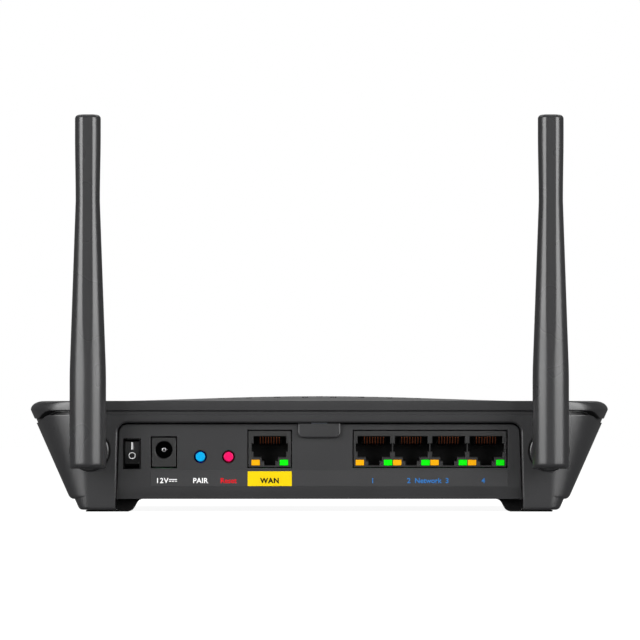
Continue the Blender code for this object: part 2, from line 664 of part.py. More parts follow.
def build_buttons():
    for name, x, colour in (("pair_button", PAIR_X, "blue_button"), ("reset_button", RESET_X, "red_button")):
        at = (x, PANEL_Y, BUTTON_Z)
        tip = loft(
            [
                [(r * cos(2 * pi * i / 20), y, r * sin(2 * pi * i / 20)) for i in range(20)]
                for y, r in (
                    (-7.4 * MM, 1.2 * MM), (-3.6 * MM, 1.2 * MM), (-3.6 * MM, 3.1 * MM),
                    (-2.3 * MM, 3.1 * MM), (-2.3 * MM, 2.15 * MM), (-1.2 * MM, 2.15 * MM),
                    (-0.75 * MM, 1.85 * MM), (-0.35 * MM, 1.8 * MM), (-0.2 * MM, 1.6 * MM),
                )
            ]
        )
        add_object(name, tip, colour, at, smooth=0.6)
        switch = boxes((span(0, 6.2 * MM), (-13.2 * MM, -9.2 * MM), (BOARD_TOP_Z + GAP - BUTTON_Z, 3.2 * MM)))
        tact = add_object(f"{name[:-7]}_tact_switch", switch, "jack_plastic", at)
        join(tact, rod("y", 1.6 * MM, -9.6 * MM, -8.5 * MM, 12), f"{name}_plunger_guide", at)


def build_labels():
    """The printed strip under the connectors, the bright one over it, and the blank one underneath."""
    shape = boxes(((-70.4 * MM, 62.9 * MM), (0.02 * MM, 0.2 * MM), (9.5 * MM, 15.5 * MM)))
    add_object("port_label", shape, "label_grey", (0, PANEL_Y, 0))
    shape = boxes((span(WAN_X, 16.5 * MM), (0.22 * MM, 0.34 * MM), (9.6 * MM, 15.1 * MM)))
    add_object("wan_label", shape, "label_yellow", (0, PANEL_Y, 0))
    shape = boxes((span(0, 50 * MM), span(0, 40 * MM), (-0.22 * MM, -0.02 * MM)))
    add_object("rating_label", shape, "label_pale", (0, MIDDLE_Y, BELLY_Z))


# ---------------------------------------------------------------- board


def build_board():
    low = BOARD_TOP_Z - BOARD_THICK
    extents = ((-BOARD_HALF_WIDTH, BOARD_HALF_WIDTH), (BOARD_FRONT_Y, BOARD_REAR_Y), (low, BOARD_TOP_Z))
    board = add_object("main_board", boxes(extents), "board_green")
    holes = bmesh.new()
    for x, y in SCREW_PLACES.values():
        rod("z", 2.0 * MM, low - MM, BOARD_TOP_Z + MM, 12, (x, y), holes)
    cut(board, holes, "board_hole_cutter")
    notch_depth = (BOARD_REAR_Y - 10 * MM, BOARD_REAR_Y + MM)
    notch = boxes((span(SWITCH_X, 7.2 * MM), notch_depth, (low - MM, 20 * MM)))
    cut(board, notch, "board_notch_cutter")


def chip(name, colour, centre, size, base=BOARD_TOP_Z + 0.1 * MM):
    """A flat package on the board, with its top edges broken."""
    shape = boxes((span(0, size[0]), span(0, size[1]), (0, size[2])))
    top = [e for e in shape.edges if all(v.co.z > 0.9 * size[2] for v in e.verts)]
    bmesh.ops.bevel(shape, geom=top, offset=min(size) * 0.15, segments=1, affect="EDGES")
    return add_object(name, shape, colour, (centre[0], centre[1], base))


def build_board_parts():
    chip("main_processor", "jack_plastic", (4 * MM, -4 * MM), (19 * MM, 19 * MM, 1.3 * MM))
    chip("memory_chip", "jack_plastic", (30 * MM, 4 * MM), (10 * MM, 13 * MM, 1.1 * MM))
    chip("radio_shield_left", "steel", (-50 * MM, -8 * MM), (26 * MM, 22 * MM, 3.0 * MM))
    chip("radio_shield_right", "steel", (47 * MM, -24 * MM), (22 * MM, 26 * MM, 3.0 * MM))
    chip("lan_transformer", "jack_plastic", (-40 * MM, 33 * MM), (24 * MM, 12 * MM, 5.6 * MM))
    chip("wan_transformer", "jack_plastic", (17 * MM, 35 * MM), (13 * MM, 10 * MM, 5.6 * MM))
    base = BOARD_TOP_Z + 1.7 * MM
    sink = boxes((span(0, 32 * MM), span(0, 30 * MM), (0, 2 * MM)))
    made = add_object("heat_sink", sink, "aluminium", (4 * MM, -4 * MM, base))
    fins = bmesh.new()
    for i in range(8):
        box(fins, span((i - 3.5) * 4.3 * MM, 1.2 * MM), span(0, 30 * MM - 0.002 * MM), (1 * MM, 8 * MM))
    join(made, fins, "heat_sink_fin_guide", (4 * MM, -4 * MM, base))


def build_status_light():
    """A light pipe that fills the window in the deck and reaches down to a lamp on the board."""
    x, y, height = light_window(2 * GAP)
    centre = (0, sum(y) / 2, 0)
    top = DECK_Z + CROWN * crown(0, centre[1]) + 0.1 * MM
    pipe = boxes((x, span(0, y[1] - y[0]), (height[0], top)))
    add_object("status_light_pipe", pipe, "clear_lens", centre)


# ---------------------------------------------------------------- antennas


def blade_section(z, half_width, front, back, flat=0.0):
    """One ring of the blade about its hinge axis. flat is how much of the rear is cut to a plane facet."""
    middle = back - 0.9 * half_width
    edge = (1 - (FACET_WIDTH / 2 / half_width) ** 2) ** 0.5
    rear_depth = (back - middle) / (1 - (1 - edge) * flat)
    ring = []
    for i in range(24):
        a = 2 * pi * i / 24
        reach = min(rear_depth * cos(a), back - middle) if cos(a) > 0 else (middle - front) * cos(a)
        y = middle + reach
        ring.append((half_width * sin(a), y, z))
    return ring


def blade_rings():
    """The blade from its foot, past a waist, to its slightly wider head. Its rear is one straight line."""
    height = BLADE_TOP_Z - PIVOT_Z
    foot, waist, head = BLADE_R, 4.49 * MM, 4.78 * MM
    foot_front, bend_front, head_front = -5.6 * MM, -2.3 * MM, 0.5 * MM
    # The underside is flat behind the hinge. In front it is round about it, to turn clear of the housing.
    turn, fillet = foot - 0.25 * MM, 0.6 * MM
    rings = []
    for i in range(6):
        a = pi / 2 * (1 - i / 6)
        reach = max(turn * cos(a), 0.5 * MM)
        short = fillet - min(fillet, turn - turn * sin(a))
        inset = fillet - (fillet**2 - short**2) ** 0.5
        section = blade_section(-turn * sin(a), foot - inset, foot_front, BLADE_BACK - inset)
        rings.append([(x, max(-reach, y), z) for x, y, z in section])
    bend = 22 * MM
    for i in range(5):
        t = i / 4
        front = foot_front + (bend_front - foot_front) * t * t * (3 - 2 * t)
        rings.append(blade_section(bend * t, foot, front, BLADE_BACK))
    neck, waist_z, thin_z = 29 * MM, 92.5 * MM, 67 * MM
    for z in (neck, 40 * MM, 51 * MM, 72 * MM, waist_z):
        half = foot - (foot - waist) * (z - neck) / (waist_z - neck)
        front = bend_front + (head_front - bend_front) * min(1.0, (z - bend) / (thin_z - bend))
        rings.append(blade_section(z, half, front, BLADE_BACK, min(1.0, (z - neck) / (24 * MM))))
    rings.append(blade_section(height - 8 * MM, head, head_front, BLADE_BACK, 1))
    for down, inset in ((1.5, 0.0), (0.5, 0.45), (0.0, 1.5)):
        size = inset * MM
        rings.append(blade_section(height - down * MM, head - size, head_front + size, BLADE_BACK - size, 1))
    return rings


def hinge_slot():
    """Room for the tongue: round about the hinge, open to the front and below for the neck's quarter turn."""
    half, radius, neck, far = TONGUE_WIDTH / 2 + GAP, TONGUE_R + 0.5 * MM, 3.2 * MM, 12 * MM
    reach = (radius**2 - neck**2) ** 0.5
    start, end = pi - atan2(neck, reach), -atan2(reach, neck)
    points = [(-far, neck)]
    for i in range(13):
        a = start + (end - start) * i / 12
        points.append((radius * cos(a), radius * sin(a)))
    points += [(neck, -far), (-far, -far)]
    return prism(points, "x", -half, half)


def build_antenna(name, side):
    pivot = Vector((side * ANTENNA_X, REAR_Y + PIVOT_OUT, PIVOT_Z))
    blade = add_object(f"antenna_blade_{name}", loft(blade_rings()), "antenna_plastic", pivot, smooth=0.5)
    cut(blade, hinge_slot(), f"blade_slot_cutter_{name}", pivot)
    cut(blade, rod("x", PIN_R + GAP, -5.9 * MM, 5.9 * MM, 14), f"blade_pin_cutter_{name}", pivot)
    bore = BLADE_TOP_Z - PIVOT_Z - 8 * MM
    cut(blade, rod("z", 2.0 * MM, 3.2 * MM, bore, 14, (0, 3.2 * MM)), f"blade_bore_cutter_{name}", pivot)
    element = boxes((span(0, 2.8 * MM), span(3.2 * MM, 0.8 * MM), (8 * MM, bore - 4 * MM)))
    add_object(f"antenna_element_{name}", element, "gold", pivot)
    add_object(f"hinge_pin_{name}", rod("x", PIN_R, -5.6 * MM, 5.6 * MM, 12), "steel", pivot)

    # The knuckle turns about the Y axis through the same point.
    disc = [(-2.1, -0.4), (1.0, 0.0), (1.6, -0.4), (1.9, -1.4)]
    rings = []
    for y, inset in disc:
        radius = KNUCKLE_R + inset * MM
        turns = [2 * pi * i / 28 for i in range(28)]
        rings.append([(radius * cos(a), y * MM - PIVOT_OUT, radius * sin(a)) for a in turns])
    knuckle = add_object(f"antenna_knuckle_{name}", loft(rings), "antenna_plastic", pivot, smooth=0.6)
    shaft = rod("y", 4.0 * MM, -PIVOT_OUT - 11.1 * MM, -PIVOT_OUT - 1.5 * MM, 18)
    join(knuckle, shaft, f"knuckle_shaft_guide_{name}", pivot)
    half = TONGUE_WIDTH / 2
    tongue = [(-PIVOT_OUT + 1.2 * MM, 2.8 * MM), (-PIVOT_OUT + 1.2 * MM, -2.8 * MM)]
    for i in range(11):
        a = -0.73 * pi + 1.46 * pi * i / 10
        tongue.append((TONGUE_R * cos(a), TONGUE_R * sin(a)))
    join(knuckle, prism(tongue, "x", -half, half), f"knuckle_tongue_guide_{name}", pivot)
    cut(knuckle, rod("x", PIN_R + GAP, -6 * MM, 6 * MM, 14), f"knuckle_pin_cutter_{name}", pivot)
    groove = rod("y", 6 * MM, -PIVOT_OUT - 9.8 * MM, -PIVOT_OUT - 7.9 * MM, 18)
    core = rod("y", 3.2 * MM, -PIVOT_OUT - 11 * MM, -PIVOT_OUT - 7 * MM, 18)
    ring = add_object(f"groove_ring_{name}", groove, None, pivot)
    boolean(ring, add_object(f"groove_core_{name}", core, None, pivot), "DIFFERENCE")
    boolean(knuckle, ring, "DIFFERENCE")

    washer = rod("y", 5.6 * MM, -PIVOT_OUT - 9.3 * MM, -PIVOT_OUT - 8.4 * MM, 20)
    clip = add_object(f"swivel_clip_{name}", washer, "steel", pivot)
    through = (-PIVOT_OUT - 10 * MM, -PIVOT_OUT - 8 * MM)
    cut(clip, rod("y", 3.5 * MM, *through, 18), f"clip_bore_cutter_{name}", pivot)
    mouth = boxes((span(0, 4.6 * MM), through, (-9 * MM, 0)))
    cut(clip, mouth, f"clip_mouth_cutter_{name}", pivot)


def smooth_route(points, count):
    """Points along a Catmull-Rom curve through a hand-placed route."""
    line = [Vector(p) for p in points]
    line = [line[0] * 2 - line[1], *line, line[-1] * 2 - line[-2]]
    spans = len(line) - 3
    found = []
    for k in range(count + 1):
        t = k / count * spans
        i = min(int(t), spans - 1)
        t -= i
        a, b, c, d = line[i : i + 4]
        curved = (2 * a - 5 * b + 4 * c - d) * t**2 + (3 * b - a - 3 * c + d) * t**3
        found.append(0.5 * (2 * b + (c - a) * t + curved))
    return found


def build_coax(name, side, start):
    """The antenna's lead inside the housing, from a radio shield to the inner end of the swivel."""
    end = Vector((side * ANTENNA_X, REAR_Y - 11.5 * MM, PIVOT_Z))
    route = [
        start,
        start + Vector((side * 6 * MM, 4 * MM, 1.5 * MM)),
        Vector((side * 79 * MM, REAR_Y - 50 * MM, 19.5 * MM)),
        Vector((side * 84.5 * MM, REAR_Y - 30 * MM, 21.5 * MM)),
        end,
    ]
    curve = bpy.data.curves.new(f"antenna_coax_{name}", "CURVE")
    curve.dimensions = "3D"
    curve.bevel_depth = 0.65 * MM
    curve.bevel_resolution = 2
    curve.use_fill_caps = True
    points = smooth_route(route, 18)
    spline = curve.splines.new("POLY")
    spline.points.add(len(points) - 1)
    for point, place in zip(spline.points, points):
        point.co = (*place, 1.0)
    curve.materials.append(material("cable_grey"))
    made = bpy.data.objects.new(f"antenna_coax_{name}", curve)
    bpy.context.scene.collection.objects.link(made)


def main():
    for old in list(bpy.data.objects):
        bpy.data.objects.remove(old)
    build_top_cover()
    build_bottom_housing()
    build_rear_panel()
    build_feet()
    build_screws()
    build_jack("wan_jack", [WAN_X])
    build_jack("lan_jack", LAN_X)
    build_contacts("wan_contacts", WAN_X)
    build_lamps("wan_lamp", WAN_X)
    for i, x in enumerate(LAN_X, 1):
        build_contacts(f"lan_contacts_{i}", x)
        build_lamps(f"lan_lamp_{i}", x)
    build_dc_socket()
    build_switch()
    build_buttons()
    build_labels()
    build_board()
    build_board_parts()
    build_status_light()
    build_antenna("left", -1)
    build_antenna("right", 1)
    build_coax("left", -1, Vector((-64.5 * MM, -4 * MM, 19.0 * MM)))
    build_coax("right", 1, Vector((59.5 * MM, -20 * MM, 19.0 * MM)))


main()
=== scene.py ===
"""The looks of the wireless router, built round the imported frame. Metres, +Z up, connectors facing +Y."""

import json
from math import atan2, cos, pi, radians, sin

import bmesh
import bpy
from mathutils import Matrix, Vector


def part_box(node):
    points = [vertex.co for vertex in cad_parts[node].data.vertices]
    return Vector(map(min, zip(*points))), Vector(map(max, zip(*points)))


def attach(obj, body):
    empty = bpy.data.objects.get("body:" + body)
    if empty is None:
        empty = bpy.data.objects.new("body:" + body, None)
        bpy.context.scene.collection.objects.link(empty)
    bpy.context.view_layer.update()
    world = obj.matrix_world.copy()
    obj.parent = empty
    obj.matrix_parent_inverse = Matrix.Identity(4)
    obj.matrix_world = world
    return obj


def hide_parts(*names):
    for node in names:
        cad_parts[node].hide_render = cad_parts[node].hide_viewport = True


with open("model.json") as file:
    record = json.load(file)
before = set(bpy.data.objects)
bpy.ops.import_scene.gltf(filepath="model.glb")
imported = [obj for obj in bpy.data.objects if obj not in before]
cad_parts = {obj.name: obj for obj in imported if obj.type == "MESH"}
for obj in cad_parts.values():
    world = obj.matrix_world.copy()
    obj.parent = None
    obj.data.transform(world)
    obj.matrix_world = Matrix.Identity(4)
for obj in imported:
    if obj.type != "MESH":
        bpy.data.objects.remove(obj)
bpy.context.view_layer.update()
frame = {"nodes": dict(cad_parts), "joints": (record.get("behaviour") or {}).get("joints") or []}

MM = 0.001


def low(node):
    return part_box(node)[0]


def high(node):
    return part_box(node)[1]


def mid(node):
    return (low(node) + high(node)) / 2


# Sizes that the frame's boxes don't give, as the CAD has them.
CORNER_R = 23.0 * MM
SIDE_SLOPE = 0.473
WALL = 2.2 * MM
CROWN = 2.3 * MM
WIDEST_Z = 38.0 * MM
COVER_EDGE_Z = 37.7 * MM
SEAM_GAP = 1.5 * MM
SEAM_DROP = 2.9 * MM
GAP = 0.3 * MM
PANEL_HALF_WIDTH = 75.6 * MM
PLATE_THICK = 2.0 * MM
KNUCKLE_R = 7.3 * MM
FOOT_STEP = 1.8 * MM

# Places, from the frame.
HALF_WIDTH = high("top_cover").x
FRONT_Y = low("top_cover").y
REAR_Y = high("top_cover").y
MIDDLE_Y = mid("top_cover").y
DECK_Z = high("top_cover").z - CROWN
BELLY_Z = low("rear_panel").z
PANEL_Y = low("port_label").y - 0.02 * MM
PANEL_TOP_Z = high("rear_panel").z + GAP
PANEL_BACK_Y = PANEL_Y - PLATE_THICK
REAR_WALL = REAR_Y - PANEL_BACK_Y
FACE_Y = high("wan_jack").y
SOCKETS = {"wan": mid("wan_contacts").x}
SOCKETS.update({f"lan_{i}": mid(f"lan_contacts_{i}").x for i in range(1, 5)})
SWIVELS = {side: mid(f"hinge_pin_{side}") for side in ("left", "right")}
SCREWS = [mid(f"case_screw_{end}_{side}") for end in ("rear", "front") for side in ("left", "right")]


# ---------------------------------------------------------------- mesh helpers


def raw_object(name, shape):
    bmesh.ops.recalc_face_normals(shape, faces=shape.faces)
    mesh = bpy.data.meshes.new(name)
    shape.to_mesh(mesh)
    shape.free()
    made = bpy.data.objects.new(name, mesh)
    bpy.context.scene.collection.objects.link(made)
    return made


def bake_modifiers(target):
    """Makes the evaluated mesh the object's own."""
    graph = bpy.context.evaluated_depsgraph_get()
    made = bpy.data.meshes.new_from_object(target.evaluated_get(graph))
    target.modifiers.clear()
    old, target.data = target.data, made
    made.name = old.name
    bpy.data.meshes.remove(old)


def carve(target, *shapes, operation="DIFFERENCE"):
    """Cuts shapes out of the target one after another, or joins them on."""
    for shape in shapes:
        tool = raw_object("tool", shape)
        step = target.modifiers.new("step", "BOOLEAN")
        step.operation, step.solver, step.object = operation, "EXACT", tool
        bake_modifiers(target)
        bpy.data.objects.remove(tool)
    return target


def bevel(target, width, segments=2, angle=35):
    step = target.modifiers.new("edges", "BEVEL")
    step.width, step.segments, step.limit_method, step.angle_limit = width, segments, "ANGLE", radians(angle)
    step.use_clamp_overlap = True
    bake_modifiers(target)
    return target


def dress(target, look, body="case", stands_for=(), angle=35):
    """Gives a piece its material and shading, the CAD body it rides on and the nodes it stands for."""
    mesh = target.data
    mesh.materials.clear()
    mesh.materials.append(look)
    mesh.shade_smooth()
    mesh.set_sharp_from_angle(angle=radians(angle))
    target.modifiers.new("normals", "WEIGHTED_NORMAL").keep_sharp = True
    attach(target, body)
    if stands_for:
        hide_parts(*stands_for)
    return target


def second_look(target, look, chosen):
    """Gives the faces whose centre passes `chosen` another material."""
    target.data.materials.append(look)
    for face in target.data.polygons:
        face.material_index = int(chosen(face.center))


def span(centre, width):
    return (centre - width / 2, centre + width / 2)


def quarter(steps, first=0):
    """Angles from 0 to a right angle, in equal steps."""
    return [pi / 2 * i / steps for i in range(first, steps + 1)]


def box(shape, x, y, z):
    verts = [shape.verts.new((a, b, c)) for c in z for b in y for a in x]
    for face in ((0, 2, 3, 1), (4, 5, 7, 6), (0, 1, 5, 4), (2, 6, 7, 3), (0, 4, 6, 2), (1, 3, 7, 5)):
        shape.faces.new([verts[i] for i in face])
    return shape


def boxes(*extents):
    shape = bmesh.new()
    for x, y, z in extents:
        box(shape, x, y, z)
    return shape


def node_block(name, node):
    """A new object that fills a node's box."""
    return raw_object(name, boxes(tuple(zip(*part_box(node)))))


def skin(rings, shape=None, start=None, end=None, closed=False):
    """Skins rings of equal point counts; start and end are centre points that close the ends in a fan."""
    shape = shape or bmesh.new()
    made = [[shape.verts.new(p) for p in ring] for ring in rings]
    count = len(rings[0])
    pairs = list(zip(made, made[1:]))
    if closed:
        pairs.append((made[-1], made[0]))
    for near, far in pairs:
        for i in range(count):
            j = (i + 1) % count
            shape.faces.new((near[i], near[j], far[j], far[i]))
    if closed:
        return shape
    for ring, centre in ((made[0], start), (made[-1], end)):
        if centre is None:
            shape.faces.new(ring)
            continue
        tip = shape.verts.new(centre)
        for i in range(count):
            shape.faces.new((ring[i], ring[(i + 1) % count], tip))
    return shape


def prism(points, axis, near, far, shape=None):
    """A polygon in the plane across `axis`, drawn out from near to far along it."""
    place = {
        "x": lambda a, b, t: (t, a, b),
        "y": lambda a, b, t: (a, t, b),
        "z": lambda a, b, t: (a, b, t),
    }[axis]
    return skin([[place(a, b, t) for a, b in points] for t in (near, far)], shape)


def circle(radius, steps, centre=(0, 0)):
    turns = [2 * pi * (i + 0.5) / steps for i in range(steps)]
    return [(centre[0] + radius * cos(a), centre[1] + radius * sin(a)) for a in turns]


def rod(axis, radius, near, far, steps=32, centre=(0, 0), shape=None):
    return prism(circle(radius, steps, centre), axis, near, far, shape)


def turned(profile, centre, steps=48):
    """A body of revolution about the Y axis through a point: rows of (y, radius) from it, in mm."""
    rings = []
    for y, radius in profile:
        ring = circle(radius * MM, steps)
        rings.append([(centre.x + a, centre.y + y * MM, centre.z + b) for a, b in ring])
    return skin(rings)


def move(shape, by):
    bmesh.ops.translate(shape, verts=shape.verts, vec=by)
    return shape


# ---------------------------------------------------------------- materials


EDGE_RANGE = (0.56, 0.68)  # the sharpness at which an edge starts to lighten, and is lightened fully


def linear(*srgb):
    """8-bit sRGB values as linear ones."""
    return [((v / 255 + 0.055) / 1.055) ** 2.4 if v > 10 else v / 255 / 12.92 for v in srgb]


class Look:
    """A Principled material whose colour, roughness and bump come from nodes in object space."""

    def __init__(self, name, roughness=0.5, metallic=0.0, **sockets):
        self.material = bpy.data.materials.new(name)
        self.material.use_nodes = True
        self.tree = self.material.node_tree
        self.shader = self.tree.nodes["Principled BSDF"]
        self.shader.inputs["Roughness"].default_value = roughness
        self.shader.inputs["Metallic"].default_value = metallic
        for socket, value in sockets.items():
            self.shader.inputs[socket.replace("_", " ")].default_value = value
        self.place = self.node("ShaderNodeTexCoord").outputs["Object"]
        self.height = None

    def node(self, kind, **settings):
        made = self.tree.nodes.new(kind)
        for key, value in settings.items():
            setattr(made, key, value)
        return made

    def link(self, start, end):
        self.tree.links.new(start, end)

    def stretch(self, scale):
        made = self.node("ShaderNodeMapping")
        made.inputs["Scale"].default_value = scale
        self.link(self.place, made.inputs["Vector"])
        return made.outputs["Vector"]

    def noise(self, size, detail=2.0, where=None):
        """Noise with features of about that size, in metres."""
        made = self.node("ShaderNodeTexNoise")
        made.inputs["Scale"].default_value = 1 / size
        made.inputs["Detail"].default_value = detail
        self.link(where or self.place, made.inputs["Vector"])
        return made.outputs["Fac"]

    def ramp(self, value, *stops):
        """Maps a value to colours; each stop is (place, colour)."""
        made = self.node("ShaderNodeValToRGB")
        points = made.color_ramp.elements
        while len(points) < len(stops):
            points.new(0.5)
        for point, (at, colour) in zip(points, stops):
            point.position = at
            point.color = (*colour, 1.0)
        self.link(value, made.inputs["Fac"])
        return made.outputs["Color"]

    def remap(self, value, out, source=(0.3, 0.7)):
        made = self.node("ShaderNodeMapRange")
        ends = zip(("From Min", "From Max", "To Min", "To Max"), (*source, *out))
        for socket, number in ends:
            made.inputs[socket].default_value = number
        self.link(value, made.inputs["Value"])
        return made.outputs["Result"]

    def mix(self, factor, first, second):
        made = self.node("ShaderNodeMix", data_type="RGBA")
        self.link(factor, made.inputs["Factor"])
        for value, socket in ((first, made.inputs[6]), (second, made.inputs[7])):
            if isinstance(value, (list, tuple)):
                socket.default_value = (*value, 1.0)
            else:
                self.link(value, socket)
        return made.outputs[2]

    def colour(self, value):
        self.link(value, self.shader.inputs["Base Color"])
        return self

    def rough(self, value):
        self.link(value, self.shader.inputs["Roughness"])
        return self

    def bump(self, height, depth):
        """Adds a height; depth is its size in metres."""
        made = self.node("ShaderNodeBump")
        made.inputs["Distance"].default_value = depth
        made.inputs["Strength"].default_value = 1.0
        self.link(height, made.inputs["Height"])
        if self.height:
            self.link(self.height, made.inputs["Normal"])
        self.height = made.outputs["Normal"]
        self.link(self.height, self.shader.inputs["Normal"])
        return self

    def worn_edges(self, base, edge_tone):
        """Lightens the base colour along outward edges."""
        sharp = self.node("ShaderNodeNewGeometry").outputs["Pointiness"]
        return self.mix(self.remap(sharp, (0.0, 1.0), EDGE_RANGE), base, edge_tone)


def scaled(colour, factor):
    return [v * factor for v in colour]


def moulded(name, base, roughness, grain=0.32 * MM, depth=0.012 * MM, edge_tone=1.0, **sockets):
    """Spark-textured moulded plastic: fine grain, faintly cloudy gloss. Its edge factor lightens the sharp
    outward edges.
    """
    look = Look(name, **sockets)
    clouds = look.noise(28 * MM, 2)
    tone = look.ramp(clouds, (0.3, scaled(base, 0.95)), (0.7, scaled(base, 1.05)))
    look.colour(tone if edge_tone == 1.0 else look.worn_edges(tone, scaled(base, edge_tone)))
    look.rough(look.remap(look.noise(16 * MM, 1), (roughness - 0.015, roughness + 0.015)))
    look.bump(look.noise(grain, 3), depth)
    return look.material


def lens(name, colour, glow):
    """A moulded window that is lit from behind, slightly mottled."""
    look = Look(name, roughness=0.3, Emission_Strength=glow, Specular_IOR_Level=0.15)
    mottle = look.noise(1.2 * MM, 2)
    tone = look.ramp(mottle, (0.3, scaled(colour, 0.9)), (0.7, colour))
    look.colour(tone)
    look.link(tone, look.shader.inputs["Emission Color"])
    look.rough(look.remap(look.noise(0.8 * MM, 2), (0.22, 0.4)))
    look.bump(look.noise(0.5 * MM, 2), 0.01 * MM)
    return look.material


def metal(name, colour, roughness, grain=(1.0, 1.0, 1.0), size=0.5 * MM):
    """Drawn or plated metal, with fine streaks that the grain's scales draw out."""
    look = Look(name, metallic=1.0)
    streaks = look.noise(size, 3, look.stretch(grain))
    look.colour(look.ramp(streaks, (0.3, scaled(colour, 0.85)), (0.7, colour)))
    look.rough(look.remap(streaks, (roughness - 0.06, roughness + 0.08)))
    look.bump(streaks, 0.004 * MM)
    return look.material


def circuit_board():
    """Green solder mask: slightly raised tracks in a fine grid of right-angled runs, and tinned pads."""
    look = Look("circuit_board", roughness=0.4)
    cells = look.node("ShaderNodeTexVoronoi", distance="CHEBYCHEV", feature="DISTANCE_TO_EDGE")
    cells.inputs["Scale"].default_value = 1 / (3.5 * MM)
    look.link(look.place, cells.inputs["Vector"])
    tracks = look.remap(cells.outputs["Distance"], (1.0, 0.0), (0.04, 0.09))
    green = look.mix(tracks, linear(16, 74, 44), linear(32, 104, 62))
    dots = look.node("ShaderNodeTexVoronoi")
    dots.inputs["Scale"].default_value = 1 / (4.2 * MM)
    look.link(look.place, dots.inputs["Vector"])
    pads = look.remap(dots.outputs["Distance"], (1.0, 0.0), (0.1, 0.13))
    look.colour(look.mix(pads, green, linear(190, 186, 170)))
    look.rough(look.remap(look.noise(5 * MM, 3), (0.32, 0.48)))
    look.bump(tracks, 0.02 * MM)
    return look.material


def make_looks():
    shell = linear(39, 39, 40)
    fine = {"grain": 0.2 * MM, "depth": 0.004 * MM}
    dull = {"grain": 0.2 * MM, "depth": 0.004 * MM, "Specular_IOR_Level": 0.2}
    ink = {"grain": 0.2 * MM, "depth": 0.002 * MM, "Specular_IOR_Level": 0.12}
    film = {"grain": 0.6 * MM, "depth": 0.003 * MM}
    return {
        "shell": moulded("shell_plastic", shell, 0.3),
        "panel": moulded("panel_plastic", shell, 0.36),
        "antenna": moulded("antenna_plastic", linear(39, 39, 40), 0.28, grain=0.25 * MM, depth=0.005 * MM),
        "jack": moulded("jack_plastic", linear(23, 23, 23), 0.45, edge_tone=1.3, **fine),
        # Near black, far darker than the jack plastic: painted shade inside the sockets and the power bore;
        # on the comb, switch bezel and pin core it is their dark plastic and painted shade together.
        "near_black_and_shade": moulded("near_black_plastic_and_painted_shade", linear(4, 4, 4), 0.6, **dull),
        "chip": moulded("chip_resin", linear(38, 38, 39), 0.55, grain=0.15 * MM, depth=0.004 * MM),
        "gloss": moulded("gloss_plastic", linear(14, 14, 14), 0.22, grain=1.5 * MM, depth=0.002 * MM),
        # Black rubber made darker than lit black rubber: painted shade under the belly.
        "rubber": moulded("rubber", linear(7, 7, 7), 0.85, 0.4 * MM, 0.03 * MM, Specular_IOR_Level=0.2),
        "blue": moulded("blue_plastic", linear(0, 150, 206), 0.4, **ink),
        # Darker copies of the button colours, for the collars in their holes: painted shade.
        "blue_shade": moulded("blue_plastic_painted_shade", linear(22, 28, 130), 0.5, **ink),
        "red": moulded("red_plastic", linear(206, 12, 86), 0.4, **ink),
        "red_shade": moulded("red_plastic_painted_shade", linear(112, 10, 30), 0.5, **ink),
        "label": moulded("label_film", linear(41, 41, 42), 0.4, **film),
        "yellow": moulded("yellow_film", linear(212, 182, 0), 0.5, Specular_IOR_Level=0.12, **film),
        "paper": moulded("label_paper", linear(170, 170, 166), 0.7, grain=0.4 * MM, depth=0.01 * MM),
        "cable": moulded("cable_jacket", linear(70, 70, 70), 0.45, grain=0.6 * MM, depth=0.01 * MM),
        "ink_white": moulded("white_ink", linear(225, 225, 225), 0.5, **ink),
        "ink_blue": moulded("blue_ink", linear(42, 100, 160), 0.5, **ink),
        "ink_red": moulded("red_ink", linear(190, 16, 28), 0.5, **ink),
        "ink_dark": moulded("dark_ink", linear(6, 6, 3), 0.6, **ink),
        "amber": lens("amber_lens", linear(196, 138, 2), 0.45),
        "green": lens("green_lens", linear(2, 198, 4), 0.45),
        "clear": lens("clear_lens", linear(180, 190, 200), 0.1),
        # Darker and redder than bright gold plating: painted shade on the contacts deep in the sockets.
        "gold": metal("gold_plate_and_painted_shade", linear(176, 100, 68), 0.36),
        "steel": metal("plain_steel", linear(200, 200, 202), 0.32, (1, 1, 6)),
        "tin": metal("tinned_steel", linear(190, 192, 194), 0.36, (1, 8, 1), 2 * MM),
        "aluminium": metal("extruded_aluminium", linear(205, 206, 208), 0.4, (1, 0.05, 1)),
        "board": circuit_board(),
    }


# ---------------------------------------------------------------- the shell


CORNER_STEPS, LONG_STEPS, SHORT_STEPS = 18, 26, 16
TURN_START, TURN_LENGTH = 5.5 * MM, 9.5 * MM  # where the seam drops, ahead of the rear face
EDGE_ROLL, REAR_ROLL = 5.0 * MM, 0.3 * MM  # how far the cover's edge rolls in, round the case and at the rear
DECK_SCALES = (0.985, 0.96, 0.93, 0.89, 0.84, 0.78, 0.72, 0.66, 0.6, 0.53, 0.46, 0.39, 0.32, 0.24, 0.16, 0.08)


def ease(t):
    """Runs from 0 to 1 with level ends."""
    return t * t * (3 - 2 * t)


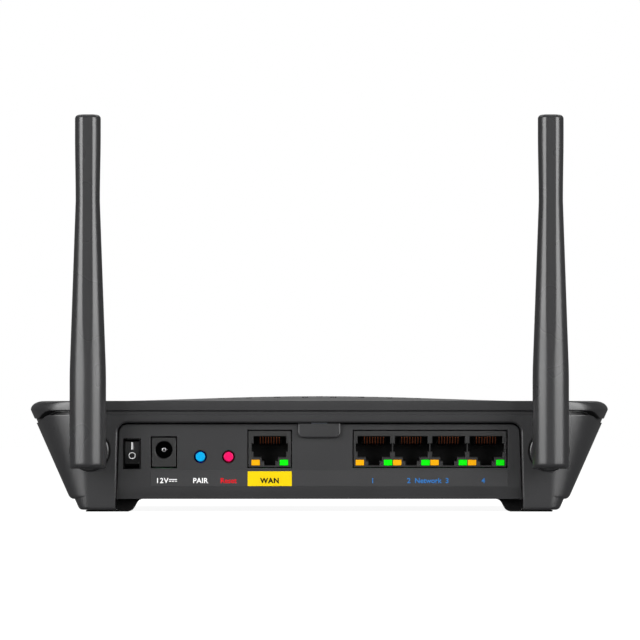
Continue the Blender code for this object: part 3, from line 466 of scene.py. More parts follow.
def rounded_outline(half_width, front, rear, rear_radius, front_radius):
    """Points round a rectangle with round corners, anticlockwise from the rear right corner."""
    centres = (
        (half_width - rear_radius, rear - rear_radius, rear_radius),
        (-half_width + rear_radius, rear - rear_radius, rear_radius),
        (-half_width + front_radius, front + front_radius, front_radius),
        (half_width - front_radius, front + front_radius, front_radius),
    )
    arcs = []
    for quarter, (cx, cy, radius) in enumerate(centres):
        turns = [pi / 2 * (quarter + i / CORNER_STEPS) for i in range(CORNER_STEPS + 1)]
        arcs.append([(cx + radius * cos(a), cy + radius * sin(a)) for a in turns])
    points = []
    for quarter, arc in enumerate(arcs):
        points += arc
        steps = SHORT_STEPS if quarter % 2 else LONG_STEPS
        (ax, ay), (bx, by) = arc[-1], arcs[(quarter + 1) % 4][0]
        points += [(ax + (bx - ax) * k / steps, ay + (by - ay) * k / steps) for k in range(1, steps)]
    return points


def seam_drop(y):
    """0 along the rear face, rising smoothly to 1 round the rear corners and on along the sides."""
    return ease(min(1.0, max(0.0, (REAR_Y - TURN_START - y) / TURN_LENGTH)))


def crown(x, y):
    """The deck's swelling, from 0 at its edge to 1 in the middle."""
    across = cos(pi / 2 * min(1.0, abs(x) / (HALF_WIDTH - 5 * MM))) ** 2
    along = cos(pi / 2 * min(1.0, abs(y - MIDDLE_Y) / ((REAR_Y - FRONT_Y) / 2 - 3 * MM))) ** 2
    return across * along


def shell_ring(z, inset=0.0, rear_inset=None, drop=0.0, scale=1.0, rise=0.0, rounder=0.0):
    """One ring of the shell at a height. drop lowers it along the sides; rise crowns it in the middle.

    rounder adds to the radius of the rear corners, which sinks the ring into them.
    """
    lean = SIDE_SLOPE * max(0.0, WIDEST_Z - z)
    rear_inset = inset if rear_inset is None else rear_inset
    half_width = HALF_WIDTH - lean - inset
    front, rear = FRONT_Y + lean + inset, REAR_Y - rear_inset
    # The rear corners are cones: their rounding starts at the same distance out at every height.
    rear_radius = half_width - (HALF_WIDTH - CORNER_R) + rounder
    front_radius = CORNER_R - min(inset, 8 * MM)
    ring = []
    for x, y in rounded_outline(half_width, front, rear, rear_radius, front_radius):
        lowered = z - drop * seam_drop(y)
        shift = SIDE_SLOPE * (z - lowered)
        if shift:
            x -= shift * min(1.0, abs(x) / (half_width - CORNER_R)) * (1 if x > 0 else -1)
            y += shift if y < front + CORNER_R else 0.0
        x, y = x * scale, MIDDLE_Y + (y - MIDDLE_Y) * scale
        ring.append((x, y, lowered + rise * crown(x, y)))
    return ring


VENT_COLUMNS, VENT_ROWS = 15, 4
VENT_PITCH, VENT_ROW_PITCH = 5.4 * MM, 16.0 * MM
VENT_WIDTH, VENT_LENGTH = 2.4 * MM, 12.0 * MM


def stadium(x, y, width, length):
    """A slot's outline with round ends, its length along y."""
    radius, reach, steps = width / 2, (length - width) / 2, 8
    turns = [pi * i / steps for i in range(steps + 1)]
    upper = [(x + radius * cos(a), y + reach + radius * sin(a)) for a in turns]
    return upper + [(2 * x - a, 2 * y - b) for a, b in upper]


def deck_slots():
    shape = bmesh.new()
    for column in range(VENT_COLUMNS):
        odd = column % 2
        for row in range(VENT_ROWS - odd):
            x = (column - (VENT_COLUMNS - 1) / 2) * VENT_PITCH
            y = MIDDLE_Y + (row - (VENT_ROWS - 1 - odd) / 2) * VENT_ROW_PITCH
            prism(stadium(x, y, VENT_WIDTH, VENT_LENGTH), "z", DECK_Z - 4 * MM, DECK_Z + 8 * MM, shape)
    return shape


def make_cover(looks):
    edge = COVER_EDGE_Z
    lip = 0.3 * MM
    rings = []
    for a in quarter(4):
        rings.append(shell_ring(edge + lip * (1 - cos(a)), lip * (1 - sin(a)), drop=SEAM_DROP))
    # The edge rolls over on an ellipse: broad at the sides and front, tight at the rear.
    roll_z = WIDEST_Z + 0.2 * MM
    for a in quarter(12):
        z = roll_z + (DECK_Z - roll_z) * sin(a)
        rings.append(shell_ring(z, EDGE_ROLL * (1 - cos(a)), REAR_ROLL * (1 - cos(a)) ** 3))
    rings += [shell_ring(DECK_Z, EDGE_ROLL, REAR_ROLL, scale=s, rise=CROWN) for s in DECK_SCALES]
    ceiling = DECK_Z - WALL
    inner = [
        shell_ring(ceiling, WALL + 2 * MM, WALL, scale=s, rise=CROWN)
        for s in (0.1, 0.2, 0.3, 0.4, 0.5, 0.6, 0.7, 0.8, 0.9, 1.0)
    ]
    inner.append(shell_ring(WIDEST_Z, WALL, WALL))
    inner.append(shell_ring(edge, WALL, WALL, SEAM_DROP))
    shape = skin(inner + rings, start=(0, MIDDLE_Y, ceiling + CROWN), end=(0, MIDDLE_Y, DECK_Z + CROWN))
    bmesh.ops.triangulate(shape, faces=[f for f in shape.faces if len(f.verts) > 4])
    cover = raw_object("top_cover_shell", shape)
    light_low, light_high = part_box("status_light_pipe")
    window = boxes(
        (
            (light_low.x - GAP, light_high.x + GAP),
            (light_low.y - GAP, light_high.y + GAP),
            (DECK_Z - 5 * MM, DECK_Z + 5 * MM),
        )
    )
    carve(cover, deck_slots(), window)
    return dress(cover, looks["shell"], stands_for=["top_cover"], angle=40)


def opening_outline(outset, bottom):
    """The rear opening's outline in x and z: upright sides that splay slightly, and round top corners."""
    radius = 3.6 * MM + outset
    half, top = PANEL_HALF_WIDTH - 0.4 * MM + outset, PANEL_TOP_Z + outset
    points = [(half + 0.8 * MM, bottom)]
    for a in quarter(12):
        points.append((half - radius + radius * cos(a), top - radius + radius * sin(a)))
    return points + [(-x, z) for x, z in reversed(points)]


def rounded_mouth(outline, start, mouth, radius):
    """A cutter that widens to the mouth on a round of that radius. outline(outset) gives its rings."""
    rows = [(start, 0.0), (mouth - radius, 0.0)]
    for a in quarter(5, 1):
        a *= 0.88  # the rounding stops short of square to the mouth
        rows.append((mouth - radius + radius * sin(a), radius * (1 - cos(a))))
    rows.append((mouth + 1.0 * MM, rows[-1][1] + 2.5 * MM))
    return skin([[(x, y, z) for x, z in outline(outset)] for y, outset in rows])


BLOCK_ROWS = ((6.0, 0), (1.9, 0), (1.3, 0.12), (0.95, 0.4), (0.78, 0.8), (0.75, 1.2))  # height and inset, mm


def foot_block(side, back, front):
    """The lower tier over a rubber foot: its outer face runs on from the shell's, a step further in."""
    rings = []
    for z, inset in BLOCK_ROWS:
        z, inset = z * MM, inset * MM
        outer = HALF_WIDTH - SIDE_SLOPE * (WIDEST_Z - z) - FOOT_STEP - inset
        inner, lower, upper = PANEL_HALF_WIDTH + 0.5 * MM, back + inset, front - inset
        points = [(inner, lower), (outer, lower)]
        radius = max(4 * MM, outer - (HALF_WIDTH - CORNER_R)) if front > REAR_Y - MM else 1 * MM
        for a in quarter(8):
            points.append((outer - radius + radius * cos(a), upper - radius + radius * sin(a)))
        points.append((inner, upper))
        rings.append([(side * x, y, z) for x, y in points])
    return skin(rings)


def make_housing(looks):
    top = COVER_EDGE_Z - SEAM_GAP
    # The strip stands back from the cover's edge at the rear and meets it at the sides.
    strip_top, strip_drop = COVER_EDGE_Z - 0.35 * MM, SEAM_DROP - 0.33 * MM
    tongue_top = COVER_EDGE_Z + 0.9 * MM
    rings = [
        shell_ring(BELLY_Z + 2.0 * MM, 5 * MM, REAR_WALL),
        shell_ring(9 * MM, WALL, REAR_WALL),
        shell_ring(28 * MM, WALL, REAR_WALL),
        shell_ring(31.5 * MM, 4.3 * MM, REAR_WALL),
        shell_ring(tongue_top, 4.3 * MM, REAR_WALL, SEAM_DROP),
        shell_ring(tongue_top, 2.6 * MM, 2.6 * MM, SEAM_DROP),
        shell_ring(strip_top, 2.6 * MM, 2.6 * MM, strip_drop),
        shell_ring(strip_top, 0.15 * MM, 0.9 * MM, strip_drop, rounder=7 * MM),
        shell_ring(top, 0.15 * MM, 0.9 * MM, SEAM_DROP, rounder=7 * MM),
        shell_ring(top, 0.12 * MM, 0.35 * MM, SEAM_DROP),
        shell_ring(top - 0.1 * MM, 0.05 * MM, 0.1 * MM, SEAM_DROP),
        shell_ring(top - 0.35 * MM, 0.0, 0.0, SEAM_DROP),
    ]
    rings += [shell_ring(z * MM, drop=SEAM_DROP * (z - 9) / 26) for z in (30, 24, 18, 13)]
    belly_round = 6.2 * MM  # the belly's edge is rounded below this height
    rings += [shell_ring(9 * MM), shell_ring(belly_round)]
    for a in quarter(5, 1):
        inset, rear_inset = 1.2 * MM * (1 - cos(a)), 0.6 * MM * (1 - cos(a))
        rings.append(shell_ring(belly_round - 1.4 * MM * sin(a), inset, rear_inset))
    shape = skin(rings)
    bmesh.ops.triangulate(shape, faces=[f for f in shape.faces if len(f.verts) > 4])
    housing = raw_object("bottom_housing_shell", shape)
    for side in (-1, 1):
        rear = foot_block(side, REAR_Y - 31 * MM, REAR_Y)
        front = foot_block(side, FRONT_Y + 22 * MM, FRONT_Y + 46 * MM)
        carve(housing, rear, front, operation="UNION")
    opening = rounded_mouth(lambda o: opening_outline(o, -3 * MM), PANEL_BACK_Y - GAP, REAR_Y, 0.75 * MM)
    carve(housing, opening)
    for pivot in SWIVELS.values():
        seat, centre = KNUCKLE_R + 0.4 * MM, (pivot.x, pivot.z)
        mouth = rounded_mouth(lambda o: circle(seat + o, 48, centre), REAR_Y - 2.4 * MM, REAR_Y, 0.3 * MM)
        carve(housing, mouth, rod("y", 4.3 * MM, REAR_Y - 12 * MM, REAR_Y, 32, centre))
    slots = bmesh.new()
    for side in (-1, 1):
        for row in range(9):
            y = MIDDLE_Y + (row - 4) * 5.2 * MM
            outline = [(b, a) for a, b in stadium(0, 0, 2.2 * MM, 26 * MM)]
            outline = [(side * 40 * MM + a, y + b) for a, b in outline]
            prism(outline, "z", BELLY_Z - 2 * MM, 9 * MM, slots)
    posts, heads, shanks = bmesh.new(), bmesh.new(), bmesh.new()
    post_top = low("main_board").z - GAP
    for screw in SCREWS:
        rod("z", 4.6 * MM, BELLY_Z + 1 * MM, post_top, 32, screw.xy, posts)
        rod("z", 3.3 * MM, BELLY_Z - 1 * MM, 8.6 * MM, 32, screw.xy, heads)
        rod("z", 1.7 * MM, 8 * MM, post_top + 3 * MM, 20, screw.xy, shanks)
    carve(housing, slots)
    carve(housing, posts, operation="UNION")
    carve(housing, heads, shanks)
    return dress(housing, looks["shell"], stands_for=["bottom_housing"], angle=40)


# ---------------------------------------------------------------- connector panel


WINDOWS = {
    "wan": (span(mid("wan_jack").x, 16.7 * MM), (16.3 * MM, 30.65 * MM)),
    "lan": (span(mid("lan_jack").x, 57.9 * MM), (16.3 * MM, 30.65 * MM)),
    "power": (span(mid("power_socket").x, 9.8 * MM), (16.2 * MM, 28.2 * MM)),
    "switch": (span(mid("switch_body").x, 6.6 * MM), (15.9 * MM, 27.4 * MM)),
}


def catch_pad():
    """The raised pad at the middle of the panel's top edge."""
    half, bottom, top, radius = 7.9 * MM, 27.6 * MM, PANEL_TOP_Z - GAP, 1.9 * MM
    face = high("rear_panel").y
    rows = [(PANEL_Y - 0.5 * MM, 0), (face - 0.6 * MM, 0), (face - 0.25 * MM, 0.15 * MM), (face, 0.7 * MM)]
    rings = []
    for y, inset in rows:
        outline = [(half - inset, top), (-half + inset, top)]
        reach = radius - inset
        for cx, start in ((-half + radius, pi), (half - radius, 1.5 * pi)):
            for turn in quarter(6):
                a = start + turn
                outline.append((cx + reach * cos(a), bottom + radius + reach * sin(a)))
        rings.append([(x, y, z) for x, z in outline])
    return skin(rings)


def make_panel(looks):
    # The plate's rim is rounded: its outline draws in as it reaches the face.
    rim = 0.5 * MM
    rows = [(PANEL_BACK_Y, -GAP), (PANEL_Y - rim, -GAP)]
    rows += [(PANEL_Y - rim + rim * sin(a), -GAP - rim * (1 - cos(a))) for a in quarter(5, 1)]
    plate = skin([[(x, y, z) for x, z in opening_outline(inset, BELLY_Z)] for y, inset in rows])
    panel = raw_object("rear_panel_plate", plate)
    turn_z, lean = 9.2 * MM, 1.3 * MM
    wedge = [(REAR_Y, -MM), (REAR_Y, turn_z), (PANEL_Y, turn_z), (PANEL_Y - lean, -MM)]
    carve(panel, prism(wedge, "x", -90 * MM, 90 * MM))
    carve(panel, catch_pad(), operation="UNION")
    depth = (PANEL_BACK_Y - 1 * MM, REAR_Y + 1 * MM)
    holes = boxes(*((x, depth, z) for x, z in WINDOWS.values()))
    carve(panel, holes)
    for name in ("pair_button", "reset_button"):
        button = mid(name)
        carve(panel, rod("y", 2.45 * MM, *depth, 40, (button.x, button.z)))
    return dress(panel, looks["panel"], stands_for=["rear_panel"], angle=30)


def socket_outline(x, grow=0.0):
    """A modular socket's opening, contacts up and latch slot down."""
    half = [
        (0, 28.1), (6.1, 28.1), (6.1, 25.4), (6.75, 25.4), (6.75, 22.5), (6.1, 22.5),
        (6.1, 20.5), (3.1, 20.5), (3.1, 19.0), (2.1, 19.0), (2.1, 17.4), (0, 17.4),
    ]
    middle = 23.0
    right = [(x + (a + grow * (a > 0)) * MM, (b + grow * (1 if b > middle else -1)) * MM) for a, b in half]
    left = [(2 * x - a, b) for a, b in right[1:-1]]
    return right + left[::-1]


def make_jack(name, sockets, looks):
    bottom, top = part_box(name)
    body = bevel(node_block(f"{name}_housing", name), 0.15 * MM, 2)
    lamps = bmesh.new()
    for socket in sockets:
        x = SOCKETS[socket]
        mouth = []
        for y, grow in ((-12.6, 0), (-0.25, 0), (0.05, 0.3)):
            mouth.append([(a, FACE_Y + y * MM, b) for a, b in socket_outline(x, grow)])
        carve(body, skin(mouth))
        for colour in ("amber", "green"):
            lamp_low, lamp_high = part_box(f"{socket.split('_')[0]}_lamp{socket[3:]}_{colour}")
            extent = [(a - 0.1 * MM, b + 0.1 * MM) for a, b in zip(lamp_low, lamp_high)]
            box(lamps, extent[0], (lamp_low.y - 0.5 * MM, FACE_Y + MM), extent[2])
    carve(body, lamps)
    dress(body, looks["jack"], stands_for=[name], angle=30)

    # Faces inside the socket mouths: the jack plastic there gets the near-black look as painted shade.
    def behind_face(at):
        across = bottom.x + MM < at.x < top.x - MM
        return at.y < FACE_Y - 0.35 * MM and across and bottom.z + 0.5 * MM < at.z < top.z - 0.5 * MM

    second_look(body, looks["near_black_and_shade"], behind_face)


def make_contacts(socket, looks):
    """A comb of eight gold spring wires that slant from the mouth's top edge down to the back."""
    node = "wan_contacts" if socket == "wan" else f"lan_contacts_{socket[4:]}"
    x = SOCKETS[socket]
    bottom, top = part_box(node)
    wires = bmesh.new()
    wire = 0.19 * MM
    path = [(bottom.y + 0.3 * MM, bottom.z - 0.3 * MM), (bottom.y + 4 * MM, bottom.z - 0.25 * MM)]
    path += [(top.y - 1.3 * MM, bottom.z + 0.3 * MM), (top.y - 0.5 * MM, top.z - 0.6 * MM)]
    path += [(top.y, top.z + 0.1 * MM)]
    for i in range(8):
        centre = x + (i - 3.5) * 1.02 * MM
        rings = [[(centre + a, y, z + b) for a, b in circle(wire, 8)] for y, z in path]
        skin(rings, wires)
    springs = raw_object(f"{node}_springs", wires)
    # The springs' gold is darkened: painted shade.
    dress(springs, looks["gold"], stands_for=[node], angle=40)
    # The comb gets the near-black look: dark plastic and painted shade.
    block = boxes((span(x, 9.2 * MM), (bottom.y, bottom.y + 1.6 * MM), (bottom.z, top.z)))
    comb = bevel(raw_object(f"{node}_comb", block), 0.1 * MM)
    dress(comb, looks["near_black_and_shade"], angle=40)


def make_lamps(looks):
    for socket in SOCKETS:
        for colour in ("amber", "green"):
            node = f"{socket.split('_')[0]}_lamp{socket[3:]}_{colour}"
            window = bevel(node_block(f"{node}_window", node), 0.16 * MM, 3)
            dress(window, looks[colour], stands_for=[node])


def make_power_socket(looks):
    pin, pin_tip = mid("power_pin"), high("power_pin").y
    centre = (pin.x, pin.z)
    body = bevel(node_block("power_socket_housing", "power_socket"), 0.3 * MM, 3)
    mouth = rounded_mouth(lambda o: circle(3.2 * MM + o, 48, centre), FACE_Y - 10 * MM, FACE_Y, 0.3 * MM)
    carve(body, mouth)
    dress(body, looks["jack"], stands_for=["power_socket"], angle=30)

    # Faces in the bore: they get the near-black look as painted shade.
    def in_bore(at):
        off = (at.x - pin.x) ** 2 + (at.z - pin.z) ** 2
        return at.y < FACE_Y - 0.4 * MM and off < (3.3 * MM) ** 2

    second_look(body, looks["near_black_and_shade"], in_bore)
    tip = Vector((pin.x, pin_tip, pin.z))
    back = (low("power_pin").y - pin_tip) / MM
    sleeve = turned([(back, 0.82), (-0.12, 0.82), (-0.03, 0.79), (0, 0.73)], tip, 32)
    contact = raw_object("power_pin_contact", sleeve)
    carve(contact, rod("y", 0.44 * MM, pin_tip - 2.6 * MM, pin_tip + 1 * MM, 24, centre))
    dress(contact, looks["steel"], stands_for=["power_pin"])
    # The pin's core gets the near-black look: painted shade in the pin's hollow.
    core = raw_object("power_pin_core", turned([(-2.5, 0.42), (-0.1, 0.42), (-0.04, 0.34)], tip, 24))
    dress(core, looks["near_black_and_shade"])


ROCKER_R = 5.1 * MM  # the skirts are round about the rocker's axis
ROCKER_EDGE = 0.97  # where the face meets a skirt, in radians from the face's middle
ROCKER_HALF = ROCKER_R * sin(ROCKER_EDGE)
ROCKER_TILT = 0.21  # how far the rest position is from square, in radians
INK = 0.03 * MM  # half the thickness of the ink


def make_switch(looks):
    body = bevel(node_block("switch_bezel", "switch_body"), 0.25 * MM, 3)
    centre, front = mid("switch_body"), high("switch_body").y
    cavity = boxes((span(centre.x, 5.7 * MM), (front - 9.3 * MM, front + 1 * MM), span(centre.z, 10.6 * MM)))
    carve(body, cavity)
    # The bezel gets the near-black look: dark plastic and painted shade.
    dress(body, looks["near_black_and_shade"], stands_for=["switch_body"])

    hinge = next(joint for joint in frame["joints"] if joint["name"] == "power_rocker_rock")
    axis = Vector(hinge["pos_m"])
    inner = 2.8 * MM
    skirt = [(ROCKER_R * cos(a), ROCKER_R * sin(a)) for a in [ROCKER_EDGE + 0.09 * k for k in range(6)]]
    face = [(face_depth(z), z) for z in [ROCKER_HALF * (k / 8 - 1) for k in range(1, 16)]]
    points = [(y, -z) for y, z in reversed(skirt)] + face + skirt + [(-1.6 * MM, inner), (-1.6 * MM, -inner)]
    rocker = raw_object("power_rocker_paddle", place_on_rocker(prism(points, "x", *span(0, 5.4 * MM)), axis))
    bevel(rocker, 0.18 * MM, 3, 40)
    carve(rocker, move(rod("x", 0.8 * MM, -2.9 * MM, 2.9 * MM, 24), axis), operation="UNION")
    dress(rocker, looks["gloss"], "power_rocker", ["switch_rocker"])

    bar_x, bar_low, bar_high, steps = 0.36 * MM, 1.15 * MM, 3.85 * MM, 6
    heights = [bar_low + (bar_high - bar_low) * k / steps for k in range(steps + 1)]
    bar = ink_strip([[(-bar_x, z), (bar_x, z)] for z in heights])
    raise_mark("power_rocker_on_mark", bar, axis, looks)
    outer, inner = [circle(radius, 32, (0, -1.2 * MM)) for radius in (1.3 * MM, 1.02 * MM)]
    ring = ink_strip([[a, b] for a, b in zip(outer, inner)], closed=True)
    raise_mark("power_rocker_off_mark", ring, axis, looks)


def face_depth(z):
    """How far the rocker's face stands from the axis: it is hollowed slightly towards its middle."""
    return ROCKER_R * cos(ROCKER_EDGE) - 0.35 * MM * (1 - (z / ROCKER_HALF) ** 2)


def place_on_rocker(shape, axis):
    bmesh.ops.rotate(shape, verts=shape.verts, matrix=Matrix.Rotation(ROCKER_TILT, 3, "X"))
    return move(shape, axis)


def ink_strip(rows, closed=False):
    """A thin strip of ink on the rocker's face, between the two edges in rows of (x, z) points."""
    rings = []
    for (ax, az), (bx, bz) in rows:
        near, far = face_depth(az), face_depth(bz)
        rings.append([(ax, near - INK, az), (ax, near + INK, az), (bx, far + INK, bz), (bx, far - INK, bz)])
    return skin(rings, closed=closed)


def raise_mark(name, shape, axis, looks):
    mark = raw_object(name, place_on_rocker(shape, axis))
    dress(mark, looks["ink_white"], "power_rocker")


def make_buttons(looks):
    for name, look, slot in (("pair_button", "blue", "blue_button"), ("reset_button", "red", "red_button")):
        front = high(name).y
        back = (low(name).y - front) / MM
        profile = [
            (back, 1.2), (-3.4, 1.2), (-3.4, 3.1), (-2.1, 3.1), (-2.1, 2.2), (-1.3, 2.2), (-1.2, 1.86),
            (-0.3, 1.8), (-0.12, 1.74), (-0.03, 1.6), (0, 1.4),
        ]
        cap = raw_object(f"{name}_cap", turned(profile, Vector((mid(name).x, front, mid(name).z))))
        dress(cap, looks[look], name, [name])
        # The collar stands back in the hole and gets a darker copy of the cap's colour: painted shade.
        second_look(cap, looks[f"{look}_shade"], lambda at: at.y < front - 1.0 * MM)


# ---------------------------------------------------------------- printing


def reading_matrix(x, y, z):
    """Turns text drawn in the XY plane to face +Y, upright."""
    turn = Matrix(((-1, 0, 0), (0, 0, 1), (0, 1, 0))).transposed().to_4x4()
    return Matrix.Translation((x, y, z)) @ turn


def lettering(name, text, x, z, height, look, y, spacing=1.0, weight=0.05 * MM):
    """Raised ink letters centred on x, with their feet at z."""
    curve = bpy.data.curves.new(name, "FONT")
    curve.body, curve.align_x, curve.space_character = text, "CENTER", spacing
    curve.size, curve.extrude, curve.resolution_u = height / 0.73, 0.03 * MM, 4
    curve.offset = weight
    drawn = bpy.data.objects.new(name, curve)
    bpy.context.scene.collection.objects.link(drawn)
    graph = bpy.context.evaluated_depsgraph_get()
    mesh = bpy.data.meshes.new_from_object(drawn.evaluated_get(graph))
    bpy.data.objects.remove(drawn)
    mesh.transform(reading_matrix(x, y + 0.03 * MM, z))
    made = bpy.data.objects.new(name, mesh)
    bpy.context.scene.collection.objects.link(made)
    return dress(made, look)


def make_labels(looks):
    for node, look, slot in (("port_label", "label", "label_grey"), ("wan_label", "yellow", "label_yellow")):
        film = bevel(node_block(f"{node}_film", node), 0.05 * MM, 2)
        dress(film, looks[look], stands_for=[node])
    face, base, height = high("port_label").y, 10.75 * MM, 1.95 * MM
    white, red, blue = looks["ink_white"], looks["ink_red"], looks["ink_blue"]
    power_x = mid("power_socket").x
    lettering("print_volts", "12V", power_x + 0.7 * MM, base, height, white, face, spacing=1.15)
    symbol = bmesh.new()
    start = power_x - 1.9 * MM
    depth = (face, face + 0.04 * MM)
    box(symbol, (start - 3.0 * MM, start), depth, (base + 1.15 * MM, base + 1.45 * MM))
    for i in range(3):
        x = start - (0.42 + i * 1.08) * MM
        box(symbol, span(x, 0.8 * MM), depth, (base + 0.5 * MM, base + 0.8 * MM))
    dress(raw_object("print_direct_current", symbol), white)
    lettering("print_pair", "PAIR", mid("pair_button").x, base, height, white, face, spacing=1.05)
    lettering("print_reset", "Reset", mid("reset_button").x, base, height, red, face)
    for number in (1, 4):
        x = SOCKETS[f"lan_{number}"] + (0.3 + 0.2 * number) * MM
        lettering(f"print_lan_{number}", str(number), x, base, height, blue, face)
    middle = (SOCKETS["lan_2"] + SOCKETS["lan_3"]) / 2 + 0.8 * MM
    lettering("print_lan_name", "2  Network  3", middle, base, height, blue, face)
    dark, face = looks["ink_dark"], high("wan_label").y
    lettering("print_wan", "WAN", SOCKETS["wan"], base, height, dark, face, 1.12, 0.11 * MM)


# ---------------------------------------------------------------- feet


def make_feet(looks):
    # The pads get the black rubber darkened as painted shade.
    for side, sign in (("left", -1), ("right", 1)):
        node = f"foot_rear_{side}"
        bottom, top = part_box(node)
        outer = max(abs(bottom.x), abs(top.x))
        crest = min(abs(bottom.x), abs(top.x))
        block, pad = PANEL_HALF_WIDTH + 0.2 * MM, 0.45 * MM
        # Down the inner side: a flare against the belly, a slope, then a round toe on the table.
        flare = ((0.9, -0.25), (1.7, -0.9), (2.3, -1.9), (2.9, -3.0))
        toe = ((3.5, 0.65), (4.0, 0.22), (4.7, 0.0))
        points = [(outer, 0.12 * MM), (outer, pad), (block, pad), (block, top.z), (crest, top.z)]
        points += [(crest + x * MM, top.z + z * MM) for x, z in flare]
        points += [(crest + x * MM, z * MM) for x, z in toe] + [(outer - 0.15 * MM, 0.0)]
        foot = raw_object(f"{node}_pad", prism([(sign * x, z) for x, z in points], "y", bottom.y, top.y))
        dress(foot, looks["rubber"], stands_for=[node], angle=50)
        node = f"foot_front_{side}"
        foot = bevel(node_block(f"{node}_pad", node), 0.15 * MM, 2)
        dress(foot, looks["rubber"], stands_for=[node], angle=50)


# ---------------------------------------------------------------- antennas


BLADE_STEPS = 72
BLADE_R = 6.75 * MM  # half the foot's width
BLADE_BACK = 8.9 * MM  # the rear, behind the hinge axis
FACET_WIDTH = 3.7 * MM  # of the flat down the rear of the neck and head
PIN_R = 1.5 * MM  # the hinge pin's bore


def blade_section(z, half_width, front, back, flat=0.0):
    """One ring of the blade about its hinge axis. flat is how much of the rear is cut to a plane facet."""
    middle = back - 0.9 * half_width
    edge = (1 - (FACET_WIDTH / 2 / half_width) ** 2) ** 0.5
    rear_depth = (back - middle) / (1 - (1 - edge) * flat)
    ring = []
    for i in range(BLADE_STEPS):
        a = 2 * pi * i / BLADE_STEPS
        reach = min(rear_depth * cos(a), back - middle) if cos(a) > 0 else (middle - front) * cos(a)
        ring.append((half_width * sin(a), middle + reach, z))
    return ring


def blade_rings(height):
    """The blade from its foot, past a waist, to its slightly wider head. Its rear is one straight line."""
    foot, waist, head = BLADE_R, 4.49 * MM, 4.78 * MM
    foot_front, bend_front, head_front = -5.6 * MM, -2.3 * MM, 0.5 * MM
    turn, fillet, rear_fillet, steps = foot - 0.25 * MM, 0.6 * MM, 1.8 * MM, 16
    rings = []
    for i in range(steps):
        a = pi / 2 * (1 - i / steps)
        reach = max(turn * cos(a), 0.5 * MM)
        above = turn - turn * sin(a)
        side_inset, rear_inset = [r - (r**2 - max(0.0, r - above) ** 2) ** 0.5 for r in (fillet, rear_fillet)]
        section = blade_section(-turn * sin(a), foot - side_inset, foot_front, BLADE_BACK - rear_inset)
        rings.append([(x, max(-reach, y), z) for x, y, z in section])
    bend, neck, waist_z, thin_z, flare_z = 22 * MM, 29 * MM, 92.5 * MM, 67 * MM, height - 7.5 * MM
    for i in range(10):
        t = i / 9
        front = foot_front + (bend_front - foot_front) * ease(t)
        rings.append(blade_section(bend * t, foot, front, BLADE_BACK))
    for i in range(1, steps + 1):
        z = bend + (waist_z - bend) * i / steps
        half = foot - (foot - waist) * max(0.0, (z - neck) / (waist_z - neck))
        front = bend_front + (head_front - bend_front) * min(1.0, (z - bend) / (thin_z - bend))
        flat = ease(min(1.0, max(0.0, (z - neck) / (24 * MM))))
        rings.append(blade_section(z, half, front, BLADE_BACK, flat))
    for i in range(1, 9):
        t = i / 8
        half = waist + (head - waist) * ease(t)
        rings.append(blade_section(waist_z + (flare_z - waist_z) * t, half, head_front, BLADE_BACK, 1.0))
    radius = 1.5 * MM
    for a in quarter(8):
        inset = radius * (1 - cos(a))
        z = height - radius + radius * sin(a)
        rings.append(blade_section(z, head - inset, head_front + inset, BLADE_BACK - inset, 1.0))
    return rings


def hinge_slot():
    """Room for the tongue, open to the front and below."""
    half, radius, neck, far = 2.8 * MM, 4.7 * MM, 3.2 * MM, 12 * MM
    reach = (radius**2 - neck**2) ** 0.5
    start, end = pi - atan2(neck, reach), -atan2(reach, neck)
    points = [(-far, neck)]
    for i in range(25):
        a = start + (end - start) * i / 24
        points.append((radius * cos(a), radius * sin(a)))
    points += [(neck, -far), (-far, -far)]
    return prism(points, "x", -half, half)


def make_antenna(side, looks):
    pivot = SWIVELS[side]
    top = high(f"antenna_blade_{side}").z
    height = top - pivot.z
    rings = blade_rings(height)
    centre = sum((Vector(p) for p in rings[-1]), Vector()) / BLADE_STEPS
    shape = skin(rings, end=(centre.x, centre.y, height))
    bmesh.ops.triangulate(shape, faces=[f for f in shape.faces if len(f.verts) > 4])
    blade = raw_object(f"antenna_{side}_rod", move(shape, pivot))
    carve(blade, move(hinge_slot(), pivot))
    carve(blade, move(rod("x", PIN_R, -5.9 * MM, 5.9 * MM), pivot))
    bore = rod("z", 2.0 * MM, 3.2 * MM, height - 8 * MM, 24, (0, 3.2 * MM))
    carve(blade, move(bore, pivot))
    dress(blade, looks["antenna"], f"antenna_{side}", [f"antenna_blade_{side}"], angle=40)

    face = pivot.y - REAR_Y
    seat, radius = Vector((pivot.x, REAR_Y, pivot.z)), KNUCKLE_R / MM
    profile = [(-2.1, radius - 0.4), (-1.6, radius)]
    profile += [(0.1 + 0.45 * sin(a), radius - 0.7 * (1 - cos(a))) for a in quarter(6)]
    knuckle = raw_object(f"antenna_{side}_knuckle", turned(profile, seat))
    shaft_end = low(f"antenna_knuckle_{side}").y - pivot.y
    carve(knuckle, move(rod("y", 4.0 * MM, shaft_end, -face - 1.5 * MM), pivot), operation="UNION")
    neck, radius, half = 2.8 * MM, 4.2 * MM, 2.5 * MM
    tongue = [(-face - 0.2 * MM, neck), (-face - 0.2 * MM, -neck)]
    for i in range(25):
        a = -0.73 * pi + 1.46 * pi * i / 24
        tongue.append((radius * cos(a), radius * sin(a)))
    carve(knuckle, move(prism(tongue, "x", -half, half), pivot), operation="UNION")
    carve(knuckle, move(rod("x", PIN_R, -6 * MM, 6 * MM), pivot))
    dress(knuckle, looks["antenna"], f"swivel_{side}", [f"antenna_knuckle_{side}"])


# ---------------------------------------------------------------- carried-over nodes


